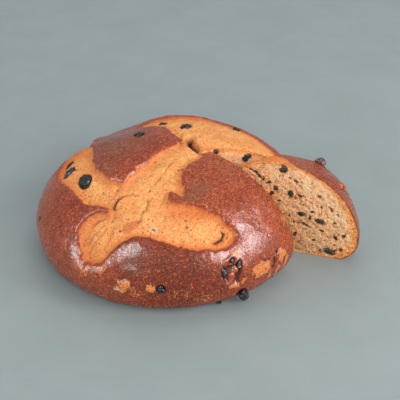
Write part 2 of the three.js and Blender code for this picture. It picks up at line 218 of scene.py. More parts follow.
# Cracks and fold lines in the slashes: line, half width, depth, how dark the painted shade in them is.
CRACKS = [
    ([(23.5, -3.5), (18.3, 1.6), (15.6, 6.0), (13.4, 11.0), (13.2, 16.0), (14.8, 20.5)], 2.8, 6.0, 1.0),
    ([(-44.5, -64), (-44.0, -60.2), (-41.6, -56.3), (-37.0, -53.2), (-32.0, -52.0)], 1.35, 2.4, 1.0),
    ([(-37.8, -53.5), (-33.3, -52.2), (-28.8, -52.6), (-24, -54.5)], 1.2, 1.3, 0.45),
    ([(-20.6, -56.5), (-17.6, -60.7), (-19.0, -67.2), (-22.7, -73.1), (-23.5, -77.5), (-28, -80)], 1.2, 1.4, 0.52),
    ([(-17.5, -51.5), (-15.5, -49)], 1.0, 1.2, 0.9),
    ([(-16.6, -50.2), (-9.9, -39.1), (-2.8, -25.0), (2, -12)], 0.9, 1.0, 0.42),
    ([(39.6, -82.7), (43.2, -86.4), (42.0, -91.0), (37.0, -94.6), (33.0, -95.6)], 1.35, 2.4, 1.0),
    ([(46.4, -83.6), (46.9, -87.5), (45, -90)], 0.7, 1.2, 0.8),
    ([(49.3, -86.5), (48.8, -90), (45.6, -94)], 0.6, 0.7, 0.35),
    ([(-45.7, -71.4), (-46, -74)], 0.9, 0.9, 0.8),
    ([(-71, -86), (-64, -82), (-57, -77), (-51, -71)], 1.3, 1.5, 0.30),
    ([(-71.5, -93), (-62, -87), (-55, -81), (-50, -77)], 1.3, 1.4, 0.24),
    ([(-57, -98), (-52, -90), (-48, -84), (-45, -77)], 1.3, 1.3, 0.24),
    ([(-65, -72), (-60, -70), (-54, -68.5), (-49, -68.5)], 1.3, 1.6, 0.42),
    ([(-84, -3), (-80, -5), (-75.2, -5.5)], 1.1, 1.4, 0.7),
    ([(-69, 14), (-76, 16), (-84, 12), (-90, 14)], 0.8, 0.8, 0.4),
    ([(-65.5, 2), (-72, 3), (-77, 0)], 0.8, 0.7, 0.35),
    ([(-71, -20), (-76, -14), (-80, -12)], 0.7, 0.6, 0.3),
    ([(13, -50), (6, -52), (1, -50)], 0.6, 0.5, 0.2),
    ([(33, 7), (45, 10), (54, 11), (60, 14), (66, 12)], 0.7, 0.8, 0.4),
    ([(92, -87), (95.5, -89.5), (97.5, -93.5), (98, -98)], 1.5, 2.4, 1.0),
    ([(109, -75.5), (108, -80), (110, -84.5), (105, -86.5), (100, -87)], 1.2, 2.0, 1.0),
    ([(83, -97), (86, -92), (91, -90.5)], 0.7, 0.9, 0.5),
    ([(2, -133.5), (6, -130), (11, -129), (15, -131)], 0.8, 0.8, 0.3),
    ([(43, -124), (50, -126), (57, -123)], 0.8, 1.0, 0.4),
]
# Small holes in the slashes, with painted shade in them: place, radius, depth.
HOLES = [(-12.9, -16.4, 0.9, 1.2), (-9.5, -19.2, 0.7, 0.8), (-53.0, -44.5, 1.0, 1.2), (-42.5, -64.3, 0.9, 1.0),
         (-41.4, -44.8, 1.3, 0.8), (8.0, -26.7, 1.3, 1.5), (4.8, -27.5, 0.9, 1.2), (11.5, -78.6, 1.1, 1.0),
         (12.2, -84.2, 1.3, 1.1), (15.6, -86.3, 0.8, 0.8), (-17.2, -76.5, 0.8, 0.9), (-40.0, -82.5, 1.1, 1.0),
         (-7.0, -12.5, 0.7, 0.7), (20.0, -98.4, 0.9, 1.0), (3.5, -16.5, 0.7, 0.7), (-48, -50, 0.7, 0.7),
         (-60, -47, 0.8, 0.8), (-26, -44, 0.7, 0.6), (-5, -75, 0.8, 0.7), (-36, -91, 0.7, 0.7), (30, 30, 0.8, 0.8),
         (62, 20, 0.8, 0.9), (-28, -62, 0.7, 0.6), (25, 20, 0.7, 0.6), (50, 34, 0.9, 0.9)]
# Blistered places of the crust: place, radii, turn, how orange, how high.
BLISTERS = [(83, -101.5, 9, 6.6, 42, 1.0, 2.0), (90, -97.5, 5, 5, 0, 0.95, 2.2), (77, -106, 4.5, 3.5, -30, 0.8, 1.2),
            (102.5, -81.5, 6.5, 5.6, -38, 1.0, 2.0), (107.5, -91, 9, 3.0, -60, 0.85, 1.8), (114, -80.5, 7.5, 3.4, -35, 0.75, 1.4),
            (98, -100, 7, 3.2, -50, 0.35, 1.2),
            (60, -121.5, 8, 2.6, 28, 0.95, 1.0), (67.5, -115.5, 4.5, 2.4, 62, 0.75, 0.8), (-39.8, -124.5, 6.5, 5, 20, 0.7, 1.4),
            (-34.5, -126.5, 4, 3.0, 0, 0.45, 1.0), (-16.5, -129.5, 5, 3.6, -10, 0.8, 0.8), (54, -99, 4, 2.2, 30, 0.5, 0.2),
            (-73, -106, 7, 4, 35, 0.4, 0.4), (-58, -109, 7, 4, 0, 0.35, 0.5), (96, -52, 9, 4.5, 70, 0.35, 0.2),
            (-30, -132, 9, 3, 5, 0.3, 0.5), (10, -134, 14, 5, 5, 0.22, 0.4), (34, -137, 14, 5, 10, 0.3, 0.6),
            (60, 112, 8, 5, 30, 0.6, 0.9), (-70, 105, 7, 5, 70, 0.5, 0.9), (10, 128, 10, 6, 0, 0.5, 0.8),
            (-118, 50, 7, 5, 80, 0.4, 0.8), (102, 86, 6, 5, 10, 0.6, 0.9), (-30, 118, 5, 4, 0, 0.5, 0.8)]
# Broad changes of the crust's colour: place, radius, lighter (+) or darker (-). The dark ones low on the front are
# painted shade near the floor; the others vary the crust's own tone.
TONES_AND_SHADE = [(-40, 5, 26, -0.40), (-58, 25, 25, -0.2), (-30, 25, 20, 0.0), (30, -45, 26, 0.30), (50, -35, 20, 0.05),
         (80, -45, 20, 0.10), (95, -70, 20, 0.35), (60, -75, 18, 0.10), (0, -112, 30, -0.75), (10, -130, 28, -0.85),
         (-30, -112, 12, -0.85), (-95, -60, 22, -0.2), (-112, -50, 18, 0.35), (-80, -112, 20, 0.35), (-60, -128, 20, -0.1),
         (-118, -5, 14, 0.3), (-70, -40, 12, -0.25), (22, -54, 9, -0.4), (60, 90, 25, 0.2), (-60, 110, 25, -0.3),
         (0, 110, 25, 0.1), (100, 60, 25, 0.3), (45, -135, 20, -0.4), (62, -86, 15, -0.35), (-32, -98, 10, -0.4), (-78, -88, 9, -0.3)]
# Greyish, floury places of the glaze.
GREYS = [(22, -54, 9, 0.8), (12, -60, 7, 0.5), (-42, 2, 16, 0.75), (-31.4, -109.9, 7, 0.6), (-50, -25, 7, 0.7),
         (45, -25, 14, 0.35), (-100, 60, 12, 0.3), (20, 110, 14, 0.4), (90, 30, 10, 0.3)]


# ------------------------------------------------------ raisins from the frame
r_all = np.concatenate([q_table * RADIUS, r_side[1:]])
z_all = np.concatenate([z_table, z_side[1:]])


def nearest_crust(mid):
    """The nearest point of the plain round and its outward direction."""
    a = math.atan2(mid[1], mid[0])
    wide = float(oval(np.array([mid[0]]), np.array([mid[1]]))[0])
    rho = math.hypot(mid[0], mid[1])
    k = int(np.argmin((r_all * wide - rho) ** 2 + (z_all - mid[2]) ** 2))
    k = min(max(k, 4), len(r_all) - 5)
    dr, dz = (r_all[k + 4] - r_all[k - 4]) * wide, z_all[k + 4] - z_all[k - 4]
    length = math.hypot(dr, dz)
    nr, nz = -dz / length, dr / length
    point = np.array([r_all[k] * wide * math.cos(a), r_all[k] * wide * math.sin(a), z_all[k]])
    return point, np.array([nr * math.cos(a), nr * math.sin(a), nz])


def raisin_axes(n):
    """Middle, axes (long, wide, outward) and half sizes of a raisin's solid."""
    name = "raisin_%02d" % n
    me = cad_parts[name].data
    v = np.array([x.co for x in me.vertices], float) * 1000
    v[:, 0] -= ROUND_CENTRE[0]
    v[:, 1] -= ROUND_CENTRE[1]
    mid = (v.max(0) + v.min(0)) / 2
    if n <= 20:
        out = nearest_crust(mid)[1]
    elif n in (28, 29):
        out = np.array([0.6, -0.1, 0.79])
    else:
        deg = {21: CUT_BACK, 22: CUT_BACK, 23: CUT_BACK, 24: CUT_BACK, 25: CUT_FRONT, 26: CUT_FRONT, 27: CUT_FRONT,
               36: W_FRONT + W_SPAN, 37: W_FRONT + W_SPAN, 38: W_FRONT + W_SPAN}.get(n, W_FRONT)
        out = np.array([-math.sin(deg * DEG), math.cos(deg * DEG), 0.0])
    out = out / np.linalg.norm(out)
    flat = (v - mid) - ((v - mid) @ out)[:, None] * out
    _, vec = np.linalg.eigh(np.cov(flat.T))
    long = vec[:, 2] - (vec[:, 2] @ out) * out
    long /= np.linalg.norm(long)
    if n in (8, 10):
        down = np.array([0.12, 0.0, -1.0]) if n == 8 else np.array([-0.10, 0.0, -1.0])
        long = down - (down @ out) * out
        long /= np.linalg.norm(long)
    axes = np.stack([long, np.cross(out, long), out])
    t = (v - mid) @ axes.T
    mid = mid + ((t.max(0) + t.min(0)) / 2) @ axes
    half = (t.max(0) - t.min(0)) / 2
    return {"name": name, "mid": mid, "axes": axes, "half": half}


RAISINS = {n: raisin_axes(n) for n in range(1, 39)}
CRUST_SET = [n for n in range(1, 21)]
NOTCH_SET = [n for n in range(21, 28)]
FACE_SET = [n for n in range(30, 39)]


# How much of each raisin's length and width shows, and how proud its top stands.
SHOWN = {1: (1.12, 1.05, 0.6), 2: (1.2, 1.3, 2.0), 3: (1.15, 1.4, 1.6), 4: (1.0, 1.1, 1.6), 5: (1.1, 1.1, 1.5),
         6: (0.95, 1.0, 1.9), 7: (0.72, 0.9, 2.2), 8: (1.25, 0.55, 0.3), 9: (0.5, 0.85, 0.2), 10: (1.05, 0.55, 0.5),
         11: (0.68, 1.25, 0.1), 12: (1.05, 1.0, 9.0), 13: (0.9, 0.9, 1.5), 14: (0.6, 0.5, -0.2), 15: (0.7, 0.7, 0.1)}


def raisin_near(p, n, grow=0.0):
    r = RAISINS[n]
    long, wide = SHOWN.get(n, (0.92, 0.85, 0))[:2]
    d = (p - r["mid"]) @ r["axes"].T
    return d, np.sqrt((d[:, 0] / (r["half"][0] * long + grow)) ** 2 + (d[:, 1] / (r["half"][1] * wide + grow)) ** 2
                      + (d[:, 2] / (r["half"][2] + 3.0)) ** 2)


# -------------------------------------------------------------- round's relief
def round_relief(p, place):
    """How far the crust stands out, and the masks that colour it."""
    n = len(p)
    wob = 1.1 * noise(p, 11, 3) + 1.15 * noise(p, 4.6, 4) + 0.65 * noise(p, 2.1, 5)
    e = outline_distance(place, SLASH) + wob * 0.8
    back = smooth((place[:, 1] - 2) / 16) * smooth((place[:, 0] + 62) / 25)
    depth = 4.4 * (1 - back) + 1.6 * back
    west = smooth((-place[:, 0] - 70) / 15)
    middle = np.exp(-(((place[:, 0] - 14) / 24) ** 2 + ((place[:, 1] + 4) / 26) ** 2))
    depth = depth * (1 - 0.55 * west) * (1 - 0.55 * middle)
    sag = 5.0 * np.exp(-((p[:, 0] + 50) ** 2 + (p[:, 1] - 50) ** 2) / 24.0 ** 2)
    for x, y, r, high in ((-80, 40, 17, -2.6), (-36, 66, 13, 2.4), (12, 76, 24, -2.4), (-102, -12, 22, -1.5), (-63, 52, 7, -1.4)):
        sag += high * np.exp(-((p[:, 0] - x) ** 2 + (p[:, 1] - y) ** 2) / r ** 2)
    inside = np.minimum(e, 0)
    floor = -depth * (1 - np.exp(inside / 1.5)) * (1 - 0.38 * smooth(-inside / 14))
    pad = 0.9 * (1 - np.exp(-np.maximum(e, 0) / 0.8)) + 2.0 * (1 - np.exp(-np.maximum(e, 0) / 4.2))
    out = np.where(e < 0, floor, pad) - sag
    lip = np.exp(-((e - 1.6) / 1.2) ** 2) * 0.35
    out += lip
    sl = smooth(0.5 - e / 1.2)
    # swelling and dimples of the pads, folds of the torn dough
    out += (1 - sl) * (0.9 * noise(p, 36, 7) + 0.45 * noise(p, 15, 8) + 0.20 * noise(p, 6, 9) + 0.09 * noise(p, 2.6, 10))
    out += sl * (0.7 * noise(p, 22, 11) + 0.38 * noise(p, 8, 12) + 0.50 * fractal(p, 3.4, 13, 2, 0.8))
    stretch = np.stack([place @ np.array([0.80, -0.60]) / 1.0, place @ np.array([0.60, 0.80]) / 5.5, np.zeros(n)], 1)
    out += sl * 0.34 * noise(stretch, 2.4, 14)
    dark = np.zeros(n)
    # rounded lump of dough where the slashes cross
    knob = np.hypot((place[:, 0] + 31.5) / 13.5, (place[:, 1] + 65.5) / 12.5)
    out += 1.9 * smooth((1.05 - knob) / 0.35) * sl * (1 - 0.25 * smooth(1 - knob))
    swirl = np.hypot(place[:, 0] - 27, (place[:, 1] + 86) * 1.25)
    out += sl * 0.42 * np.sin(swirl * 1.75 + 1.2 * noise(p, 7, 21)) * smooth((20 - swirl) / 10) * smooth((place[:, 0] - 12) / 10)
    for line, half, deep, black in CRACKS:
        box = np.array(line)
        near = ((place[:, 0] > box[:, 0].min() - 6) & (place[:, 0] < box[:, 0].max() + 6)
                & (place[:, 1] > box[:, 1].min() - 6) & (place[:, 1] < box[:, 1].max() + 6))
        if not near.any():
            continue
        d, t = line_distance(place[near] + 0.5 * np.stack([noise(p[near], 3, 31), noise(p[near], 3, 32)], 1), line)
        fade = smooth(t / 0.18) * smooth((1 - t) / 0.18) * 0.75 + 0.25
        g = np.exp(-(d / half) ** 2) * fade
        out[near] -= deep * g
        out[near] += 0.30 * deep * np.exp(-((d - 2.4 * half) / (1.2 * half)) ** 2) * fade
        # painted shade in the crack
        dark[near] = np.maximum(dark[near], black * np.exp(-(d / (half * 0.95)) ** 2) * fade)
    for x, y, r, deep in HOLES:
        d = np.hypot(place[:, 0] - x, place[:, 1] - y)
        g = np.exp(-(d / r) ** 2)
        out -= deep * g
        # painted shade in the hole
        dark = np.maximum(dark, 0.95 * np.exp(-(d / (r * 0.95)) ** 2))
    # thin torn skin of the lower left of the lump
    skin, st = line_distance(place, [(-39, -84), (-34, -82), (-28.8, -80), (-22.7, -77)])
    half = 3.4 * smooth(st / 0.3) * smooth((1.25 - st) / 0.8)
    skin = smooth((half - skin) / 0.8 + 0.5) * smooth(half / 1.5)
    out += 0.9 * skin
    patch, grey, tone_and_shade = np.zeros(n), np.zeros(n), np.zeros(n)
    for x, y, rx, ry, turn, orange, high in BLISTERS:
        c, s = math.cos(turn * DEG), math.sin(turn * DEG)
        dx, dy = place[:, 0] - x, place[:, 1] - y
        d = np.hypot((dx * c + dy * s) / rx, (-dx * s + dy * c) / ry) + 0.34 * noise(p, 3.6, 41) + 0.24 * noise(p, 1.8, 42)
        g = smooth((1.15 - d) / 0.75)
        patch = np.maximum(patch, orange * g)
        out += high * smooth((1.2 - d) / 0.7) * (0.75 + 0.5 * noise(p, 2.2, 43))
        dark = np.maximum(dark, 0.75 * orange * np.exp(-((d - 1.18) / 0.14) ** 2) * smooth(noise(p, 3.4, 44) * 2 + 0.15))
        dark = np.maximum(dark, 0.45 * orange * g * smooth((-0.45 - noise(p, 2.1, 46)) / 0.3))
    # the tone mask takes painted shade low on the front as well as the crust's own uneven tone
    for x, y, r, v in TONES_AND_SHADE:
        tone_and_shade += v * np.exp(-((place[:, 0] - x) ** 2 + (place[:, 1] - y) ** 2) / r ** 2)
    for x, y, r, v in GREYS:
        grey += v * np.exp(-((place[:, 0] - x) ** 2 + (place[:, 1] - y) ** 2) / r ** 2)
    # halo round the pale dot
    halo = np.hypot(place[:, 0] + 13.5, place[:, 1] + 85.6)
    dark = np.maximum(dark, 0.95 * smooth((1.5 - halo) / 1.0))
    pale = smooth((3.4 - halo) / 1.4) * (1 - smooth((1.6 - halo) / 0.8))
    fleck = np.hypot((place[:, 0] + 46.6) / 3.6, (place[:, 1] + 125.2) / 1.7) + 0.35 * noise(p, 2, 45)
    pale = np.maximum(pale, 0.9 * smooth((1.1 - fleck) / 0.4))
    out += 0.4 * pale
    # cavity with raisins low on the front, its lower lip pushed out
    cav = np.hypot((place[:, 0] - 54.8) / 9.6, (place[:, 1] + 114.5) / 8.6) + 0.14 * noise(p, 4, 51) + 0.08 * noise(p, 2, 53)
    out -= 2.8 * smooth((1.05 - cav) / 0.35)
    out += 1.1 * np.exp(-((cav - 1.28) / 0.20) ** 2)
    shape = 0.16 * noise(p, 3, 52) + 0.10 * noise(p, 1.6, 54)
    lump = np.hypot((place[:, 0] - 54.6) / 3.4, (place[:, 1] + 117.0) / 4.6) + shape
    lump = np.minimum(lump, np.hypot((place[:, 0] - 56.6) / 2.6, (place[:, 1] + 110.6) / 2.4) + shape)
    out += 2.6 * smooth((1.2 - lump) / 0.5)
    inner = smooth((1.02 - cav) / 0.2)
    # painted shade in the cavity round the lump
    dark = np.maximum(dark, 0.70 * inner * smooth((lump - 0.95) / 0.3))
    patch = patch * (1 - inner)
    tone_and_shade = tone_and_shade + 0.9 * inner * smooth((1.1 - lump) / 0.3)
    return out, {"edge": e, "dark": dark, "patch": patch, "grey": grey, "tone_and_shade": tone_and_shade, "skin": skin, "pale": pale}


def raisin_pits(p, numbers, out, dark, sink=1.5, rim=0.45):
    for k in numbers:
        d, r = raisin_near(p, k, 0.35)
        near = r < 2.4
        if not near.any():
            continue
        out[near] -= sink * smooth((1.12 - r[near]) / 0.22)
        out[near] += rim * np.exp(-((r[near] - 1.38) / 0.20) ** 2)
        # painted shade in the gap round the raisin
        dark[near] = np.maximum(dark[near], 0.95 * smooth((1.16 - r[near]) / 0.14))


# ------------------------------------------------------------- mesh from rays
def zip_rings(a, b, flip):
    """Triangles between two rows of points that span the same angle."""
    faces, i, j = [], 0, 0
    na, nb = len(a) - 1, len(b) - 1
    while i < na or j < nb:
        step_a = (i + 1) / na if na and i < na else 9
        step_b = (j + 1) / nb if nb and j < nb else 9
        if step_a < step_b:
            f = (a[i], b[j], a[i + 1])
            i += 1
        else:
            f = (a[i], b[j], b[j + 1])
            j += 1
        faces.append(f[::-1] if flip else f)
    return faces


def cut_pores(count, u_max, z_max, seed, wide=1.0):
    r = np.random.default_rng(seed)
    u, z = r.uniform(0, u_max, count), r.uniform(1, z_max, count)
    size = np.exp(r.normal(-0.62, 0.38, count)) * wide
    big = r.random(count) < 0.045
    size[big] *= r.uniform(1.5, 2.4, big.sum())
    flat = r.uniform(0.38, 0.85, count)
    turn = r.normal(0, 0.5, count)
    deep = np.clip(size * r.uniform(0.5, 1.0, count), 0.3, 1.9)
    return np.stack([u, z, size, flat, turn, deep], 1)


def carve(points, pores, spread):
    """Depth of the pores at points of a cut face, and dim, the painted shade in them, darker the deeper they go; spread
    turns them along the crust.
    """
    depth, dim = np.zeros(len(points)), np.zeros(len(points))
    order = np.argsort(points[:, 0])
    xs = points[order, 0]
    for u, z, size, flat, turn, deep in pores:
        lo, hi = np.searchsorted(xs, [u - 2 * size - 0.5, u + 2 * size + 0.5])
        idx = order[lo:hi]
        if not len(idx):
            continue
        d = points[idx] - (u, z)
        a = turn + spread(u, z)
        c, s = math.cos(a), math.sin(a)
        r = np.hypot((d[:, 0] * c + d[:, 1] * s) / size, (-d[:, 0] * s + d[:, 1] * c) / (size * flat))
        g = smooth((1.15 - r) / 0.5)
        depth[idx] = np.maximum(depth[idx], deep * g)
        dim[idx] = np.maximum(dim[idx], min(1, 0.95 * (deep / 1.25) ** 1.4) * g)
    return depth, dim


class Body:
    """A closed body swept about the axis of a cut corner, with two cut faces."""

    def __init__(self, corner, start, stop, rows, crust, base_rows, step, face_step, seed):
        self.co, self.masks, self.faces, self.mat = [], [], [], []
        self.corner, self.sharp = corner, set()
        a0, a1 = start * DEG, stop * DEG
        ring_angles = []
        for t, length in rows:
            n = max(2, int(math.ceil(abs(a1 - a0) * length / step)))
            ring_angles.append(np.linspace(a0, a1, n + 1))
        ang = np.concatenate(ring_angles)
        tt = np.concatenate([np.full(len(r), t) for r, (t, _) in zip(ring_angles, rows)])
        pts, masks = crust(ang, tt)
        first, rings = 0, []
        for r in ring_angles:
            rings.append(list(range(first, first + len(r))))
            first += len(r)
        # ring 0 is the top of the axis: one point
        axis_top = pts[rings[0]].mean(0)
        keep = np.ones(len(pts), bool)
        keep[rings[0][1:]] = False
        index = np.cumsum(keep) - 1
        pts[rings[0][0]] = [corner[0], corner[1], axis_top[2]]
        pts, masks = pts[keep], {k: v[keep] for k, v in masks.items()}
        rings = [[int(index[rings[0][0]])]] + [[int(index[i]) for i in r] for r in rings[1:]]
        faces, mats = [], []
        for a, b in zip(rings[:-1], rings[1:]):
            f = zip_rings(a, b, False)
            faces += f
            mats += [0] * len(f)
        # base: rows of points drawn in towards the axis, all on z = 0
        foot = rings[-1]
        foot_pts = pts[foot]
        extra, base_rings = [], [foot]
        count = len(pts)
        for k in range(1, base_rows):
            share = 1 - k / base_rows
            n = max(2, int(len(foot) * share ** 0.8))
            s = np.linspace(0, len(foot) - 1, n + 1)
            src = np.stack([np.interp(s, np.arange(len(foot)), foot_pts[:, i]) for i in range(3)], 1)
            src[0], src[-1] = foot_pts[0], foot_pts[-1]
            row = np.array([corner[0], corner[1], 0.0]) + (src - [corner[0], corner[1], 0]) * share
            row[:, 2] = 0
            base_rings.append(list(range(count, count + n + 1)))
            extra.append(row)
            count += n + 1
        base_rings.append([count])
        extra.append(np.array([[corner[0], corner[1], 0.0]]))
        count += 1
        for a, b in zip(base_rings[:-1], base_rings[1:]):
            f = zip_rings(a, b, False)
            faces += f
            mats += [0] * len(f)
        extra = np.vstack(extra)
        pts = np.vstack([pts, extra])
        masks = {k: np.concatenate([v, np.zeros(len(extra))]) for k, v in masks.items()}
        masks["base"] = np.concatenate([np.zeros(len(pts) - len(extra)), np.ones(len(extra))])
        masks["edge"][-len(extra):] = 9
        masks["rim"] = np.zeros(len(pts))
        masks["pore_shade"] = np.zeros(len(pts))
        # axis points shared by the two cut faces
        height = pts[rings[0][0]][2]
        n_axis = int(height / face_step)
        axis_ids = list(range(len(pts), len(pts) + n_axis - 1))
        axis_z = np.linspace(0, height, n_axis + 1)[1:-1]
        axis = np.stack([np.full(n_axis - 1, corner[0]), np.full(n_axis - 1, corner[1]), axis_z], 1)
        pts = np.vstack([pts, axis])
        for k in masks:
            masks[k] = np.concatenate([masks[k], np.zeros(len(axis))])
        masks["rim"][axis_ids] = np.minimum(30, np.minimum(height - axis_z, 30))
        self.pts, self.masks, self.faces, self.mats = pts, masks, faces, mats
        self.rings, self.base_rings, self.axis_ids = rings, base_rings, axis_ids
        self.face_step, self.seed = face_step, seed
        self.angles = (a0, a1)

    def cut_face(self, side, pores, spread, extra_shape=None, calm=0.0):
        """Fills one cut face; side 0 is the first ray and 1 the last. Nothing much is carved within calm mm of the crust."""
        pick = 0 if side == 0 else -1
        ids = [r[pick] for r in self.rings] + [r[pick] for r in self.base_rings[1:-1]] + [self.base_rings[-1][0]]
        ids = ids + self.axis_ids
        loop = []
        for i in ids:
            if i not in loop[-1:]:
                loop.append(i)
        a = self.angles[side]
        d = np.array([math.cos(a), math.sin(a)])
        flat = np.stack([(self.pts[loop][:, :2] - self.corner) @ d, self.pts[loop][:, 2]], 1)
        h = self.face_step
        gu = np.arange(0, flat[:, 0].max() + h, h)
        gz = np.arange(0, flat[:, 1].max() + h, h * 0.866)
        grid = np.array([[u + (h / 2 if k % 2 else 0), z] for k, z in enumerate(gz) for u in gu])
        r = np.random.default_rng(self.seed + side)
        grid += r.uniform(-0.12, 0.12, grid.shape) * h
        dist = outline_distance(grid, flat)
        grid, dist = grid[dist < -0.45 * h], dist[dist < -0.45 * h]
        coords = [Vector(p) for p in np.vstack([flat, grid])]
        edges = [(i, (i + 1) % len(loop)) for i in range(len(loop))]
        out = delaunay_2d_cdt(coords, edges, [], 1, 1e-7, True)
        verts, tris, origin = out[0], out[2], out[3]
        # skin distance: to the crust line only, not to the axis or the base
        crust_line = flat[:len(self.rings)]
        rim, along = line_distance(grid, crust_line)
        rim = rim * (1.35 - 0.72 * smooth((along - 0.32) / 0.30))
        line_edge = np.clip(self.masks["edge"][loop[:len(self.rings)]], -4, 4)
        seg = np.concatenate([[0], np.cumsum(np.hypot(*np.diff(crust_line, axis=0).T))])
        glaze = np.interp(along * seg[-1], seg, line_edge)
        bottom = grid[:, 1]
        base_rim = np.minimum(rim, bottom * 2.2 + 1.2)
        start = len(self.pts)
        new = np.zeros((len(grid), 3))
        new[:, 0] = self.corner[0] + grid[:, 0] * d[0]
        new[:, 1] = self.corner[1] + grid[:, 0] * d[1]
        new[:, 2] = grid[:, 1]
        normal = np.array([-d[1], d[0], 0.0]) * (-1 if side == 0 else 1)
        ragged = (0.50 * np.stack([noise(new, 1.7, 65), noise(new, 1.7, 69)], 1)
                  + 0.80 * np.stack([noise(new, 3.8, 70), noise(new, 3.8, 75)], 1))
        depth, dim = carve(grid + ragged, pores, spread)
        keep_in = smooth((-dist - 0.4) / 1.2)
        depth = depth * keep_in * smooth((rim - 0.8) / 1.5)
        rough = (0.22 * noise(new, 2.2, 61) + 0.20 * noise(new, 1.1, 62) + 0.35 * noise(new, 9, 63)) * keep_in
        sponge = noise(new + 0.9 * np.stack([noise(new, 3.1, 66), noise(new, 3.1, 67), noise(new, 3.1, 68)], 1), 2.3, 64)
        sponge = smooth((-0.18 - sponge) / 0.38) * keep_in * smooth((rim - 1.5) / 2)
        # spongy hollows: carved in, with painted shade in them
        depth = np.maximum(depth, 0.6 * sponge)
        dim = np.maximum(dim, 0.50 * sponge)
        if calm:
            quiet = smooth((rim - calm) / 5)
            depth, dim = depth * quiet, dim * quiet
        if extra_shape is not None:
            add, black = extra_shape(grid, new)
            depth = np.maximum(depth, add * keep_in)
            dim = np.maximum(dim, black)
        # painted light and shade on the crumb: lighter high up and far from the corner, darker low down and near it
        tone_and_shade = np.clip(0.55 * (grid[:, 1] - 44) / 30 + 0.45 * (grid[:, 0] - 46) / 32, -1, 1)
        dark = np.zeros(len(grid))
        for k in list(NOTCH_SET) + list(FACE_SET):
            dd, rr = raisin_near(new, k, 0.15)
            if (rr < 2).any():
                # a pocket round each cut raisin, with painted shade in it
                depth = np.maximum(depth, 1.1 * smooth((1.15 - rr) / 0.25))
                dark = np.maximum(dark, 0.6 * smooth((1.25 - rr) / 0.2))
        new = new + normal * (rough - depth - 0.1)[:, None]
        self.pts = np.vstack([self.pts, new])
        for k in self.masks:
            add = {"rim": base_rim, "pore_shade": dim, "dark": dark, "edge": glaze, "tone_and_shade": tone_and_shade}.get(k, np.zeros(len(grid)))
            self.masks[k] = np.concatenate([self.masks[k], add])
        lookup = []
        for o in origin:
            src = min(o)
            lookup.append(loop[src] if src < len(loop) else start + src - len(loop))
        for t in tris:
            f = [lookup[i] for i in t]
            p = self.pts[f]
            facing = np.cross(p[1] - p[0], p[2] - p[0]) @ normal
            if facing < 0:
                f = f[::-1]
            self.faces.append(tuple(f))
            self.mats.append(1)
        for i in range(len(self.rings) - 1):
            self.sharp.add(tuple(sorted((loop[i], loop[i + 1]))))
        for i in range(len(self.rings) - 1, len(loop)):
            self.sharp.add(tuple(sorted((loop[i], loop[(i + 1) % len(loop)]))))

    def make(self, name, materials, node):
        me = bpy.data.meshes.new(name)
        pts = to_row(self.pts)
        me.from_pydata(pts.tolist(), [], [tuple(int(i) for i in f) for f in self.faces])
        me.update()
        for k, v in self.masks.items():
            at = me.attributes.new(k, "FLOAT", "POINT")
            at.data.foreach_set("value", np.asarray(v, np.float32))
        me.polygons.foreach_set("material_index", np.array(self.mats, np.int32))
        me.polygons.foreach_set("use_smooth", np.ones(len(me.polygons), bool))
        ed = np.zeros(len(me.edges) * 2, np.int32)
        me.edges.foreach_get("vertices", ed)
        ed = np.sort(ed.reshape(-1, 2), 1)
        marked = np.array([tuple(e) in self.sharp for e in ed.tolist()])
        at = me.attributes.new("sharp_edge", "BOOLEAN", "EDGE")
        at.data.foreach_set("value", marked)
        ob = bpy.data.objects.new(name, me)
        bpy.context.scene.collection.objects.link(ob)
        for m in materials:
            me.materials.append(m)
        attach(ob, "root")
        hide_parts(node)
        return ob


# ------------------------------------------------------------------ materials
def lin(r, g, b, k=1.0):
    def f(c):
        c /= 255.0
        return (c / 12.92 if c <= 0.04045 else ((c + 0.055) / 1.055) ** 2.4) * k
    return (f(r), f(g), f(b), 1.0)


